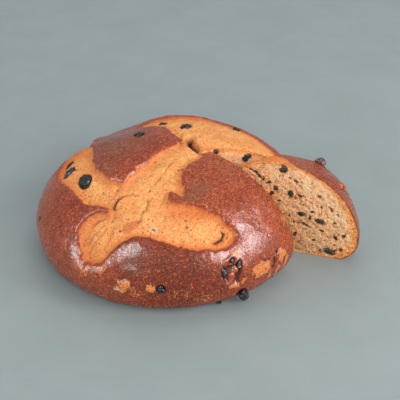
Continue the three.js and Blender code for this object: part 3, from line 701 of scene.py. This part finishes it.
class Nodes:
    """Short calls for building a node material."""

    def __init__(self, name):
        self.mat = bpy.data.materials.new(name)
        self.mat.use_nodes = True
        self.t = self.mat.node_tree
        self.t.nodes.clear()
        self.out = self.t.nodes.new("ShaderNodeOutputMaterial")
        self.bsdf = self.t.nodes.new("ShaderNodeBsdfPrincipled")
        self.t.links.new(self.bsdf.outputs[0], self.out.inputs[0])
        self.coord = self.t.nodes.new("ShaderNodeTexCoord").outputs["Object"]

    def put(self, socket, value):
        if hasattr(value, "links") or isinstance(value, bpy.types.NodeSocket):
            self.t.links.new(value, socket)
        else:
            socket.default_value = value

    def attr(self, name):
        n = self.t.nodes.new("ShaderNodeAttribute")
        n.attribute_name = name
        return n.outputs["Fac"]

    def noise(self, mm, detail=3.0, rough=0.55, distort=0.0, squash=None):
        n = self.t.nodes.new("ShaderNodeTexNoise")
        n.inputs["Scale"].default_value = 1000.0 / mm
        n.inputs["Detail"].default_value = detail
        n.inputs["Roughness"].default_value = rough
        n.inputs["Distortion"].default_value = distort
        self.put(n.inputs["Vector"], self.stretched(squash) if squash else self.coord)
        return n.outputs["Fac"]

    def voronoi(self, mm, feature="F1", random=1.0, squash=None):
        n = self.t.nodes.new("ShaderNodeTexVoronoi")
        n.feature = feature
        n.inputs["Scale"].default_value = 1000.0 / mm
        n.inputs["Randomness"].default_value = random
        self.put(n.inputs["Vector"], self.stretched(squash) if squash else self.coord)
        return n.outputs["Distance"]

    def stretched(self, scale):
        n = self.t.nodes.new("ShaderNodeMapping")
        n.inputs["Scale"].default_value = scale
        self.t.links.new(self.coord, n.inputs["Vector"])
        return n.outputs[0]

    def math(self, op, a, b=0.0, clamp=False):
        n = self.t.nodes.new("ShaderNodeMath")
        n.operation = op
        n.use_clamp = clamp
        self.put(n.inputs[0], a)
        self.put(n.inputs[1], b)
        return n.outputs[0]

    def ramp(self, value, lo, hi, a=0.0, b=1.0):
        n = self.t.nodes.new("ShaderNodeMapRange")
        n.interpolation_type = "SMOOTHSTEP"
        for s, v in zip(n.inputs[:5], (value, lo, hi, a, b)):
            self.put(s, v)
        return n.outputs[0]

    def mix(self, fac, a, b, mode="MIX"):
        n = self.t.nodes.new("ShaderNodeMix")
        n.data_type = "RGBA"
        n.blend_type = mode
        self.put(n.inputs[0], fac)
        self.put(n.inputs[6], a)
        self.put(n.inputs[7], b)
        return n.outputs[2]

    def bump(self, height, mm, strength=1.0, normal=None):
        n = self.t.nodes.new("ShaderNodeBump")
        n.inputs["Distance"].default_value = mm * 0.001
        self.put(n.inputs["Strength"], strength)
        self.put(n.inputs["Height"], height)
        if normal is not None:
            self.t.links.new(normal, n.inputs["Normal"])
        return n.outputs[0]

    def finish(self, color, rough, normal, specular=0.5, sss=0.0, radius=(0.004, 0.002, 0.001)):
        b = self.bsdf.inputs
        self.put(b["Base Color"], color)
        self.put(b["Roughness"], rough)
        if normal is not None:
            self.t.links.new(normal, b["Normal"])
        b["Specular IOR Level"].default_value = specular
        if sss:
            b["Subsurface Weight"].default_value = sss
            b["Subsurface Radius"].default_value = radius
            b["Subsurface Scale"].default_value = 1.0
        return self.mat


def crust_material():
    m = Nodes("crust_and_slashes")
    edge = m.math("ADD", m.attr("edge"), m.math("MULTIPLY", m.math("SUBTRACT", m.noise(2.2, 3), 0.5), 2.2))
    pad = m.ramp(edge, -0.35, 0.35)
    tone_and_shade, patch, grey, dark = m.attr("tone_and_shade"), m.attr("patch"), m.attr("grey"), m.attr("dark")
    blotch, fine, grain, dust_and_glint = m.noise(15, 4, 0.6), m.noise(2.8, 3, 0.6), m.noise(1.15, 2, 0.6), m.noise(0.75, 1, 0.5)
    # glazed crust
    # the tone mask in this level holds painted shade low on the front besides the crust's own tone
    level = m.math("ADD", m.math("MULTIPLY", tone_and_shade, 0.42), m.math("MULTIPLY", m.math("SUBTRACT", blotch, 0.5), 0.8))
    level = m.math("ADD", level, m.math("MULTIPLY", m.math("SUBTRACT", fine, 0.5), 1.1))
    level = m.math("ADD", level, m.math("MULTIPLY", m.math("SUBTRACT", grain, 0.5), 2.4))
    level = m.math("ADD", level, m.math("MULTIPLY", m.math("SUBTRACT", dust_and_glint, 0.5), 2.4))
    c = m.mix(m.ramp(level, -0.60, 0.0), lin(104, 43, 27), lin(148, 63, 38))
    c = m.mix(m.ramp(level, 0.0, 0.50), c, lin(190, 94, 56))
    c = m.mix(m.math("MULTIPLY", m.math("MINIMUM", grey, 1.0), m.ramp(m.math("ADD", grain, fine), 0.8, 1.15, 0.25, 0.75)), c, lin(132, 96, 70))
    mask = m.ramp(m.noise(8, 2), 0.42, 0.60)
    c = m.mix(m.math("MULTIPLY", m.ramp(m.voronoi(2.3), 0.30, 0.12), m.math("MULTIPLY", mask, 0.75)), c, lin(62, 24, 16))
    c = m.mix(m.math("MULTIPLY", m.ramp(m.voronoi(3.1), 0.16, 0.06), m.math("MULTIPLY", mask, 0.45)), c, lin(224, 140, 90))
    c = m.mix(m.math("MULTIPLY", m.ramp(m.voronoi(5.2), 0.10, 0.05), 0.60), c, lin(238, 168, 112))
    spot = m.math("ADD", patch, m.math("MULTIPLY", m.math("SUBTRACT", m.math("ADD", fine, grain), 1.0), 1.1))
    o = m.mix(m.ramp(grain, 0.36, 0.62), lin(196, 98, 46), lin(242, 156, 86))
    c = m.mix(m.math("MULTIPLY", m.ramp(spot, 0.12, 0.62), 0.95), c, o)
    # reddish line where glaze meets a slash
    c = m.mix(m.math("MULTIPLY", m.ramp(edge, 1.8, 0.1), 0.35), c, lin(186, 84, 52))
    # open slashes
    f = m.mix(m.ramp(blotch, 0.36, 0.66), lin(242, 150, 72), lin(255, 182, 102))
    f = m.mix(m.math("MULTIPLY", m.ramp(m.noise(5, 4, 0.65), 0.44, 0.66), 0.60), f, lin(226, 132, 64))
    f = m.mix(m.math("MULTIPLY", m.ramp(fine, 0.47, 0.70), 0.60), f, lin(212, 116, 54))
    f = m.mix(m.math("MULTIPLY", m.ramp(grain, 0.52, 0.40), 0.60), f, lin(204, 106, 46))
    # pale specks in the slashes: floury dust and painted glints
    f = m.mix(m.math("MULTIPLY", m.ramp(dust_and_glint, 0.50, 0.59), m.ramp(m.attr("stone"), 0.0, 0.7, 0.60, 0.18)), f, lin(255, 200, 124))
    f = m.mix(m.math("MULTIPLY", m.ramp(m.attr("stone"), 0.0, 1.0), m.ramp(fine, 0.35, 0.6, 0.95, 0.65)), f, lin(216, 108, 36))
    # darker orange band inside the slash edges: toasting, and painted shade below the pads' step
    f = m.mix(m.math("MULTIPLY", m.ramp(edge, -8.0, -0.5), 0.55), f, lin(218, 114, 46))
    f = m.mix(m.math("MULTIPLY", m.ramp(edge, -1.5, -0.1), 0.55), f, lin(200, 100, 50))
    thick = m.ramp(m.noise(7, 2), 0.40, 0.60)
    f = m.mix(m.math("MULTIPLY", m.ramp(m.voronoi(1.9), 0.30, 0.12), m.ramp(thick, 0, 1, 0.35, 0.9)), f, lin(158, 76, 34))
    f = m.mix(m.math("MULTIPLY", m.ramp(m.voronoi(4.4), 0.16, 0.08), 0.85), f, lin(112, 52, 26))
    f = m.mix(m.math("MULTIPLY", m.attr("skin"), m.ramp(grain, 0.35, 0.6, 0.35, 0.85)), f, lin(192, 92, 50))
    c = m.mix(pad, f, c)
    c = m.mix(m.attr("pale"), c, m.mix(m.ramp(grain, 0.4, 0.6), lin(186, 166, 128), lin(222, 206, 170)))
    # dark mask: painted shade in cracks, holes, raisin pits and the cavity, plus the dark lines and spots of the
    # blisters and the pale dot
    c = m.mix(m.ramp(dark, 0.05, 1.0), c, lin(44, 22, 16))
    base = m.attr("base")
    c = m.mix(m.math("MULTIPLY", base, 0.8), c, m.mix(m.noise(9, 4), lin(150, 92, 55), lin(196, 138, 88)))
    rough = m.math("ADD", m.ramp(pad, 0, 1, 0.80, 0.24), m.math("MULTIPLY", m.math("SUBTRACT", m.noise(2.4, 3), 0.5), 0.34))
    rough = m.math("ADD", rough, m.math("MULTIPLY", m.math("MAXIMUM", patch, base), 0.25), clamp=True)
    cells = m.ramp(m.voronoi(1.7), 0.0, 0.55)
    height = m.math("ADD", m.math("MULTIPLY", m.noise(1.0, 2, 0.6), 0.8), m.math("MULTIPLY", cells, 0.5))
    height = m.math("ADD", height, m.math("MULTIPLY", fine, 0.9))
    n1 = m.bump(height, 0.55, m.ramp(pad, 0, 1, 1.0, 0.25))
    holes = m.math("MULTIPLY", m.ramp(m.voronoi(2.2), 0.10, 0.28), m.ramp(m.voronoi(4.4), 0.08, 0.18))
    n2 = m.bump(holes, 0.7, m.ramp(pad, 0, 1, 0.6, 0.14), n1)
    return m.finish(c, rough, n2, 0.42)


def crumb_material():
    m = Nodes("crumb")
    rim, pore_shade, dark, tone_and_shade = m.attr("rim"), m.attr("pore_shade"), m.attr("dark"), m.attr("tone_and_shade")
    glaze = m.ramp(m.attr("edge"), -1.0, 1.0)
    wob = m.math("MULTIPLY", m.math("SUBTRACT", m.noise(3.0, 3), 0.5), 2.6)
    depth = m.math("ADD", rim, wob)
    fine, grain = m.noise(2.1, 3, 0.65), m.noise(1.05, 2, 0.6)
    # more dark specks where the crumb has painted shade
    holes = m.ramp(tone_and_shade, -0.6, 0.6, 1.0, 0.30)

    def part(value, share):
        return m.math("MULTIPLY", m.math("MULTIPLY", value, holes), share)
    c = m.mix(m.ramp(m.noise(9, 4, 0.6), 0.36, 0.64), lin(255, 188, 132), lin(255, 208, 158))
    c = m.mix(part(m.ramp(m.noise(4.5, 3, 0.6), 0.50, 0.68), 0.60), c, lin(230, 158, 98))
    c = m.mix(part(m.ramp(fine, 0.50, 0.34), 0.65), c, lin(198, 130, 78))
    c = m.mix(part(m.ramp(grain, 0.48, 0.36), 0.75), c, lin(158, 96, 56))
    c = m.mix(m.math("MULTIPLY", m.ramp(grain, 0.53, 0.66), 0.70), c, lin(255, 230, 184))
    c = m.mix(part(m.ramp(m.voronoi(1.9), 0.28, 0.10), 0.75), c, lin(120, 66, 38))
    c = m.mix(m.math("MULTIPLY", m.ramp(m.voronoi(3.4), 0.20, 0.10), 0.70), c, lin(96, 52, 30))
    # painted shade in the pores, darker the deeper they are
    c = m.mix(m.ramp(pore_shade, 0.15, 1.0, 0.0, 0.95), c, m.mix(m.ramp(pore_shade, 0.5, 1.0), lin(132, 76, 44), lin(62, 34, 22)))
    # painted shade low and near the corner, painted light high and far from it
    c = m.mix(m.ramp(tone_and_shade, 0.2, -0.9, 0.0, 0.40), c, lin(128, 80, 50))
    c = m.mix(m.ramp(tone_and_shade, 0.1, 1.0, 0.0, 0.45), c, lin(255, 210, 160))
    # baked rim, darker under glaze
    band = m.ramp(depth, 4.8, 2.6)
    c = m.mix(m.math("MULTIPLY", band, 0.85), c, m.mix(m.ramp(fine, 0.38, 0.62), lin(232, 130, 56), lin(255, 178, 92)))
    spots = m.math("MULTIPLY", m.ramp(m.voronoi(2.4), 0.36, 0.16), m.math("MULTIPLY", m.ramp(depth, 3.8, 2.2), m.ramp(depth, 0.3, 1.0)))
    c = m.mix(m.math("MULTIPLY", spots, m.math("MULTIPLY", glaze, 0.90)), c, lin(104, 34, 20))
    c = m.mix(m.math("MULTIPLY", m.ramp(depth, 1.3, 0.4), m.ramp(glaze, 0, 1, 0.15, 0.9)), c, lin(150, 72, 42))
    # painted shade round cut raisins
    c = m.mix(m.ramp(dark, 0.1, 1.0), c, lin(60, 34, 26))
    rough = m.math("ADD", 0.75, m.math("MULTIPLY", m.noise(2, 2), 0.2))
    h = m.math("ADD", m.math("MULTIPLY", grain, 0.7), m.math("MULTIPLY", m.ramp(m.voronoi(1.9), 0.05, 0.4), 0.6))
    return m.finish(c, rough, m.bump(h, 0.8, 0.8), 0.3)


def raisin_material(name, dark=(14, 12, 15), mid=(34, 30, 34), light=(84, 70, 70), gloss=0.22):
    m = Nodes(name)
    c = m.mix(m.ramp(m.noise(3.0, 4, 0.6), 0.40, 0.66), lin(*dark), lin(*mid))
    c = m.mix(m.math("MULTIPLY", m.ramp(m.noise(1.3, 3, 0.6), 0.60, 0.78), 0.6), c, lin(*light))
    rough = m.math("ADD", gloss, m.math("MULTIPLY", m.math("SUBTRACT", m.noise(2, 3), 0.5), 0.35))
    h = m.math("ADD", m.math("MULTIPLY", m.noise(1.0, 3, 0.6), 0.6), m.math("MULTIPLY", m.voronoi(2.3), 1.2))
    return m.finish(c, rough, m.bump(h, 0.8, 0.9), 0.8)


CRUST = crust_material()
CRUMB = crumb_material()
RAISIN = raisin_material("raisin_skin")
RAISIN_CUT = raisin_material("raisin_cut", (20, 15, 16), (42, 31, 30), (112, 76, 58), 0.42)
GLAZED = raisin_material("raisin_under_glaze", (72, 32, 26), (112, 50, 38), (156, 84, 60), 0.20)
BLOND = raisin_material("raisin_under_dough", (196, 108, 58), (222, 136, 76), (236, 160, 100), 0.45)


# -------------------------------------------------------------------- the loaf
def round_crust(angle, t):
    eps = 0.6
    u, z = round_line(angle, t)
    u0, z0 = round_line(angle, np.maximum(t - eps, 0))
    u1, z1 = round_line(angle, np.minimum(t + eps, S_BELLY + S_SIDE))
    length = np.hypot(u1 - u0, z1 - z0) + 1e-9
    nu, nz = -(z1 - z0) / length, (u1 - u0) / length
    c, s = np.cos(angle), np.sin(angle)
    p = np.stack([CORNER[0] + u * c, CORNER[1] + u * s, z], 1)
    place = surface_place(p)
    out, masks = round_relief(p, place)
    pits = p + np.stack([nu * c, nu * s, nz], 1) * out[:, None]
    raisin_pits(pits, CRUST_SET, out, masks["dark"])
    fade = smooth(z / 9.0)
    out = np.minimum(out, 3.3) * fade
    # slightly ragged lower edge
    u = u + nu * out
    z = np.maximum(0, z + nz * out)
    z = np.where(t > S_BELLY + S_SIDE - 1e-6, 0, np.where(t > 1e-9, np.maximum(z, 0.05), z))
    u = np.where(t > 1e-9, np.maximum(u, 0.05), 0)
    masks["stone"] = np.clip(1.1 * np.exp(-(((place[:, 0] + 94) / 18) ** 2 + ((place[:, 1] - 38) / 32) ** 2))
                             + 0.75 * np.exp(-(((place[:, 0] - 16) / 26) ** 2 + ((place[:, 1] + 73) / 7) ** 2))
                             + 0.25 * smooth((place[:, 1] - 41) / 14) + 0.70 * smooth((place[:, 1] - 60) / 9) + 0.35 * smooth((np.hypot(place[:, 0], place[:, 1]) - 88) / 25), 0, 1)
    return np.stack([CORNER[0] + u * c, CORNER[1] + u * s, z], 1), masks


STEP = 1.0
FACE = 0.85
rows = [(0.0, 0.0)]
n_top = int(S_BELLY / STEP)
for k in range(1, n_top + 1):
    t = S_BELLY * k / n_top
    rows.append((t, 108 * float(np.interp(t, s_table, q_table))))
n_side = int(S_SIDE / STEP)
for k in range(1, n_side + 1):
    t = S_BELLY + S_SIDE * k / n_side
    rows.append((t, 106.0))
loaf = Body(CORNER, CUT_BACK, CUT_FRONT + 360, rows, round_crust, 10, STEP * 1.08, FACE, 5)
LOAF_PORES = [cut_pores(1500, 112, 84, 71, 0.8), cut_pores(1700, 112, 84, 72)]
loaf.cut_face(0, LOAF_PORES[0], lambda u, z: -0.9 * u / 110 * (z / 60), calm=8.0)
loaf.cut_face(1, LOAF_PORES[1], lambda u, z: -0.9 * u / 110 * (z / 60))
loaf_ob = loaf.make("fruit_loaf", [CRUST, CRUMB], "loaf")


# ------------------------------------------------------------------- the wedge
W_ARC = None


def wedge_line(angle, t):
    """t from 0 to 1 along the top, 1 to 2 down the side."""
    turn = (angle / DEG - W_FRONT) / W_SPAN
    scale = 1 - 0.065 * np.maximum(0, turn) ** 1.5
    a = np.clip(t, 0, 1) * math.pi / 2
    u = W_LENGTH * np.sin(a) ** (2 / W_EXP)
    z = W_BELLY + (W_HEIGHT - W_BELLY) * np.cos(a)
    z = z - 12 * np.maximum(0, 1 - u / 38) ** 2
    z = z - 3 * turn * np.minimum(1, z / W_HEIGHT)
    b = np.clip(t - 1, 0, 1)
    low = W_BELLY - 3 * turn * (W_BELLY / W_HEIGHT)
    u2 = W_BASE + (W_LENGTH - W_BASE) * np.sqrt(np.maximum(0, 1 - b * b))
    z2 = (1 - b) * low
    return np.where(t <= 1, u, u2) * scale, np.where(t <= 1, z, z2)


def wedge_relief(p, u, turn):
    n = len(p)
    e = u - (42 - 17 * turn) + 2.2 * noise(p, 12, 80) + 1.2 * noise(p, 4.5, 81) + 0.5 * noise(p, 2, 82)
    sl = smooth(0.5 - e / 1.6)
    out = (1 - sl) * (0.5 * noise(p, 20, 83) + 0.22 * noise(p, 8, 84) + 0.13 * noise(p, 2.4, 85))
    out += sl * (0.45 * noise(p, 9, 86) + 0.35 * fractal(p, 3.6, 87, 2, 0.7) - 0.9)
    patch, grey, tone_and_shade, dark = np.zeros(n), np.zeros(n), np.zeros(n), np.zeros(n)
    for k, size, high, orange in ((28, 8.5, 1.6, 0.0), (29, 7.0, 2.2, 0.22)):
        d = np.linalg.norm(p - RAISINS[k]["mid"], axis=1) / size
        out += high * smooth((1.05 - d) / 0.9)
        patch = np.maximum(patch, orange * smooth((0.95 - d) / 0.35))
    tone_and_shade += 0.25 * noise(p, 24, 88) + 0.35 * smooth((u - 70) / 20)
    grey += 0.35 * smooth((62 - u) / 20)
    return out, {"edge": e, "dark": dark, "patch": patch, "grey": grey, "tone_and_shade": tone_and_shade,
                 "skin": np.zeros(n), "pale": np.zeros(n), "stone": 0.6 * np.ones(n)}


def wedge_crust(angle, t):
    eps = 0.006
    u, z = wedge_line(angle, t)
    u0, z0 = wedge_line(angle, np.maximum(t - eps, 0))
    u1, z1 = wedge_line(angle, np.minimum(t + eps, 2))
    length = np.hypot(u1 - u0, z1 - z0) + 1e-9
    nu, nz = -(z1 - z0) / length, (u1 - u0) / length
    c, s = np.cos(angle), np.sin(angle)
    p = np.stack([TIP[0] + u * c, TIP[1] + u * s, z], 1)
    turn = (angle / DEG - W_FRONT) / W_SPAN
    out, masks = wedge_relief(p, u, turn)
    fade = smooth(z / 7.0)
    out = out * fade
    u = np.where(t > 1e-9, np.maximum(0.05, u + nu * out), 0)
    z = np.where(t >= 2 - 1e-9, 0, np.maximum(0.05, z + nz * out))
    z = np.minimum(z, 85.6)
    return np.stack([TIP[0] + u * c, TIP[1] + u * s, z], 1), masks


probe_t = np.linspace(0, 2, 1201)
pu, pz = wedge_line(np.full_like(probe_t, (W_FRONT + 10) * DEG), probe_t)
parc = np.concatenate([[0], np.cumsum(np.hypot(np.diff(pu), np.diff(pz)))])
w_step = 0.8
count = int(parc[-1] / w_step)
rows = [(0.0, 0.0)]
for k in range(1, count + 1):
    s = parc[-1] * k / count
    t = float(np.interp(s, parc, probe_t))
    rows.append((t if k < count else 2.0, float(np.interp(s, parc, pu))))
wedge = Body(TIP, W_FRONT, W_FRONT + W_SPAN, rows, wedge_crust, 8, w_step * 1.08, 0.68, 9)

# larger gaps seen in the cut face, each with painted shade inside: place, radii, turn, depth
GAPS = [(12, 66, 5.5, 1.8, -35, 2.4), (5.5, 70, 3.0, 1.2, -30, 1.6), (21, 60, 2.4, 1.5, 20, 1.6), (17, 63, 2.0, 1.2, 70, 1.4),
        (33, 77.5, 3.2, 1.3, -10, 1.6), (62, 55, 2.6, 1.6, -15, 1.7), (30, 45, 2.2, 1.4, 40, 1.5), (24, 51, 2.6, 1.5, 60, 1.6),
        (57, 40, 2.3, 1.2, 20, 1.3), (56, 34.5, 2.2, 1.5, 60, 1.4), (84, 22, 2.4, 1.5, 60, 1.7), (53, 27, 5.0, 1.2, -22, 1.1),
        (66, 24, 1.6, 1.2, 0, 1.3), (44, 66, 2.4, 1.1, -15, 1.2), (47, 52, 2.6, 1.3, -60, 1.4), (72, 46, 2.2, 1.0, -30, 1.1),
        (39, 33, 2.0, 1.3, 10, 1.2), (28, 36, 1.8, 1.4, 45, 1.3), (45, 17, 2.6, 1.2, 70, 1.1), (60, 14, 2.0, 1.0, 20, 1.0),
        (35, 24, 2.0, 1.2, -40, 1.2), (50, 45, 1.6, 1.0, 0, 1.2), (76, 33, 1.8, 1.0, 30, 1.1), (14, 56, 2.2, 1.3, 30, 1.4)]


def wedge_gaps(flat, points):
    deep, black = np.zeros(len(flat)), np.zeros(len(flat))
    for u, z, a, b, turn, d in GAPS:
        c, s = math.cos(turn * DEG), math.sin(turn * DEG)
        du, dz = flat[:, 0] - u, flat[:, 1] - z
        r = np.hypot((du * c + dz * s) / a, (-du * s + dz * c) / b) + 0.50 * noise(points, 2.2, 91) + 0.40 * noise(points, 1.2, 92)
        g = smooth((1.15 - r) / 0.4)
        # black is the painted shade inside each gap
        deep, black = np.maximum(deep, d * g), np.maximum(black, g)
    return deep, black


wedge.cut_face(0, cut_pores(2600, 98, 86, 73), lambda u, z: -0.9 * u / 96 * (z / 60), wedge_gaps)
wedge.cut_face(1, cut_pores(2300, 98, 86, 74), lambda u, z: -0.9 * u / 96 * (z / 60))
wedge_ob = wedge.make("loaf_wedge", [CRUST, CRUMB], "wedge")


# ------------------------------------------------------------------- raisins
def ball(level):
    t = (1 + 5 ** 0.5) / 2
    v = [(-1, t, 0), (1, t, 0), (-1, -t, 0), (1, -t, 0), (0, -1, t), (0, 1, t), (0, -1, -t), (0, 1, -t),
         (t, 0, -1), (t, 0, 1), (-t, 0, -1), (-t, 0, 1)]
    f = [(0, 11, 5), (0, 5, 1), (0, 1, 7), (0, 7, 10), (0, 10, 11), (1, 5, 9), (5, 11, 4), (11, 10, 2), (10, 7, 6),
         (7, 1, 8), (3, 9, 4), (3, 4, 2), (3, 2, 6), (3, 6, 8), (3, 8, 9), (4, 9, 5), (2, 4, 11), (6, 2, 10), (8, 6, 7), (9, 8, 1)]
    v = [np.array(x, float) / np.linalg.norm(x) for x in v]
    for _ in range(level):
        cache, g = {}, []

        def mid(a, b):
            key = (min(a, b), max(a, b))
            if key not in cache:
                m = v[a] + v[b]
                v.append(m / np.linalg.norm(m))
                cache[key] = len(v) - 1
            return cache[key]
        for a, b, c in f:
            x, y, z = mid(a, b), mid(b, c), mid(c, a)
            g += [(a, x, z), (b, y, x), (c, z, y), (x, y, z)]
        f = g
    return np.array(v), np.array(f)


BALLS = {k: ball(k) for k in (3, 4)}


def crust_level(n):
    """How far above a raisin's middle the finished crust lies."""
    mid = RAISINS[n]["mid"]
    point, up = nearest_crust(mid)
    out, _ = round_relief(point[None], surface_place(point[None]))
    return float((point - mid) @ up + min(out[0], 3.3)), up


def raisin_mesh(n, plane=None, shrink=1.0, wrinkle=1.0):
    r = RAISINS[n]
    v, f = BALLS[4 if r["half"][0] > 4.2 else 3]
    seed = 100 + n
    size = r["half"].mean()
    long, wide, proud = SHOWN.get(n, (0.92, 0.85, -0.3))
    if plane is not None:
        long, wide = {30: (0.9, 0.8), 31: (0.62, 0.9), 32: (0.8, 0.75), 33: (0.7, 0.8), 34: (0.85, 0.8), 35: (0.95, 0.8),
                      21: (0.85, 0.95), 22: (1.1, 1.25)}.get(n, (0.8, 0.85))
    flat = v.copy()
    a = np.arctan2(flat[:, 1], flat[:, 0])
    # angular outline: a few flat sides
    pull = 0.13 * np.cos(3 * a + seed) + 0.08 * np.cos(5 * a + 2.3 * seed) + 0.07 * np.cos(4 * a - seed)
    flat[:, :2] *= (1 + pull * (1 - flat[:, 2] ** 2))[:, None]
    q = flat * r["half"] * 0.98 * shrink * np.array([long, wide, 1.0])
    if n == 1:
        # pointed at its near end
        near = q[:, 0] * (-1 if r["axes"][0][1] > 0 else 1) / r["half"][0]
        q[:, 1] *= 1.10 - 0.72 * smooth((near + 0.15) / 1.2)
        q[:, 0] *= 1 + 0.14 * smooth(near)
    # folds: narrow creases between soft ridges
    warp = q + 0.8 * np.stack([noise(q, 3.5, seed + 1), noise(q, 3.5, seed + 2), noise(q, 3.5, seed + 3)], 1)
    crease = 1 - np.abs(noise(warp, 2.6, seed + 4)) * 2.2
    crease = np.clip(crease, 0, 1) ** 2
    lump = 0.07 * noise(q, size * 1.1, seed + 5)
    k = 1 + wrinkle * (1.4 * lump - 0.23 * crease + 0.05 * noise(q, 1.2, seed + 6))
    q = q * k[:, None]
    p = r["mid"] + q @ r["axes"]
    if n == 12:
        p = p + np.array([1.6, -1.2, -0.6])
    if plane is None and n not in (28, 29):
        level, up = crust_level(n)
        top = level + proud
        if proud < 5:
            p = p + up * float(np.clip(top - ((p - r["mid"]) @ up).max(), 0, 1.3))
        t = (p - r["mid"]) @ up
        p = p - up * (0.72 * np.maximum(0, t - top))[:, None]
    if plane is not None:
        point, normal = plane
        above = (p - point) @ normal
        lift = 0.12 + 0.12 * noise(p, 1.6, seed + 7)
        p = p - normal * np.maximum(0, above - lift)[:, None]
    return p, f


def join(name, parts, material, nodes):
    pts, faces, start = [], [], 0
    for p, f in parts:
        pts.append(p)
        faces.append(f + start)
        start += len(p)
    me = bpy.data.meshes.new(name)
    me.from_pydata(to_row(np.vstack(pts)).tolist(), [], [tuple(int(i) for i in t) for t in np.vstack(faces)])
    me.polygons.foreach_set("use_smooth", np.ones(len(me.polygons), bool))
    me.update()
    ob = bpy.data.objects.new(name, me)
    bpy.context.scene.collection.objects.link(ob)
    me.materials.append(material)
    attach(ob, "root")
    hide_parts(*["raisin_%02d" % n for n in nodes])
    return ob


def cut_plane(corner, deg, facing):
    a = deg * DEG
    return (np.array([corner[0], corner[1], 0.0]), np.array([-math.sin(a), math.cos(a), 0.0]) * facing)


join("raisins_in_crust", [raisin_mesh(n) for n in CRUST_SET], RAISIN, CRUST_SET)
planes = {}
for n in (21, 22, 23, 24):
    planes[n] = cut_plane(CORNER, CUT_BACK, -1)
for n in (25, 26, 27):
    planes[n] = cut_plane(CORNER, CUT_FRONT, 1)
for n in range(30, 36):
    planes[n] = cut_plane(TIP, W_FRONT, -1)
for n in range(36, 39):
    planes[n] = cut_plane(TIP, W_FRONT + W_SPAN, 1)
join("raisins_cut_loaf", [raisin_mesh(n, planes[n]) for n in NOTCH_SET], RAISIN_CUT, NOTCH_SET)
join("raisins_cut_wedge", [raisin_mesh(n, planes[n]) for n in FACE_SET], RAISIN_CUT, FACE_SET)
join("raisin_bump_dark", [raisin_mesh(28, shrink=1.2, wrinkle=0.8)], GLAZED, [28])
join("raisin_bump_pale", [raisin_mesh(29, shrink=0.86, wrinkle=0.45)], BLOND, [29])

# --------------------------------------------------------------------- stage
me = bpy.data.meshes.new("floor")
me.from_pydata([(-4, -3, 0), (4, -3, 0), (4, 6, 0), (-4, 6, 0)], [], [(0, 1, 2, 3)])
floor = bpy.data.objects.new("floor", me)
bpy.context.scene.collection.objects.link(floor)
fm = Nodes("plain_floor")
shade = fm.mix(fm.ramp(fm.noise(60, 3, 0.6), 0.3, 0.7), lin(146, 158, 160), lin(150, 162, 164))
fm.finish(shade, 0.75, None, 0.2)
me.materials.append(fm.mat)


def area(name, location, target, size, power, color=(1, 1, 1)):
    data = bpy.data.lights.new(name, "AREA")
    data.shape = "RECTANGLE"
    data.size, data.size_y = size
    data.energy, data.color = power, color
    ob = bpy.data.objects.new(name, data)
    ob.location = location
    ob.rotation_mode = "QUATERNION"
    ob.rotation_quaternion = (Vector(target) - Vector(location)).to_track_quat("-Z", "Y")
    bpy.context.scene.collection.objects.link(ob)
    return ob


def radiance(ob, value):
    """Sets a light's power from how bright its surface is."""
    ob.data.energy = value * math.pi * ob.data.size * ob.data.size_y
    return ob


world = bpy.data.worlds.new("soft_room")
world.use_nodes = True
world.node_tree.nodes["Background"].inputs[0].default_value = (0.95, 0.97, 1.0, 1)
world.node_tree.nodes["Background"].inputs[1].default_value = 0.40
bpy.context.scene.world = world
centre = (0, 0, 0.05)
over = radiance(area("overhead", (0.10, 0.75, 1.5), (0, 0.25, 0), (1.6, 1.2), 1, (1.0, 0.98, 0.95)), 1.28)
over.visible_glossy = False
fill = radiance(area("front_fill", (0.40, -1.32, 0.80), centre, (1.4, 0.9), 1, (1.0, 0.97, 0.93)), 3.75)
fill.visible_glossy = False
wash = radiance(area("back_wash", (0.1, 2.3, 1.3), (0.0, 1.3, 0.0), (1.6, 0.8), 1), 1.6)
wash.visible_glossy = False
radiance(area("right_box", (1.08, -0.50, 0.70), (0.04, -0.08, 0.05), (0.46, 0.72), 1, (1.0, 0.97, 0.95)), 6.5)
side = radiance(area("left_box", (-1.25, -0.22, 0.34), (-0.08, -0.08, 0.04), (0.36, 0.46), 1, (0.97, 0.98, 1.0)), 8.0)
side.visible_glossy = False
for name, place, target, size, value in (("right_shine", (0.98, -0.46, 0.72), (0.05, -0.08, 0.05), (0.66, 0.84), 14.0),
                                         ("left_shine", (-1.14, -0.50, 0.30), (-0.08, -0.08, 0.04), (0.28, 0.30), 26.0),
                                         ("front_left_shine", (-0.72, -0.80, 0.86), (-0.05, -0.09, 0.05), (0.36, 0.42), 24.0)):
    shine = radiance(area(name, place, target, size, 1, (0.98, 0.98, 1.0)), value)
    shine.visible_diffuse = False

scene = bpy.context.scene
scene.view_settings.view_transform = "Standard"
cam = bpy.data.cameras.new("camera")
cam.sensor_width = 36
cam.lens = 93.0
cam.clip_start, cam.clip_end = 0.05, 20
camera = bpy.data.objects.new("camera", cam)
camera.location = (0.001895, -0.70235, 0.49018)
camera.rotation_euler = (57 * DEG, 0, 0)
scene.collection.objects.link(camera)
scene.camera = camera
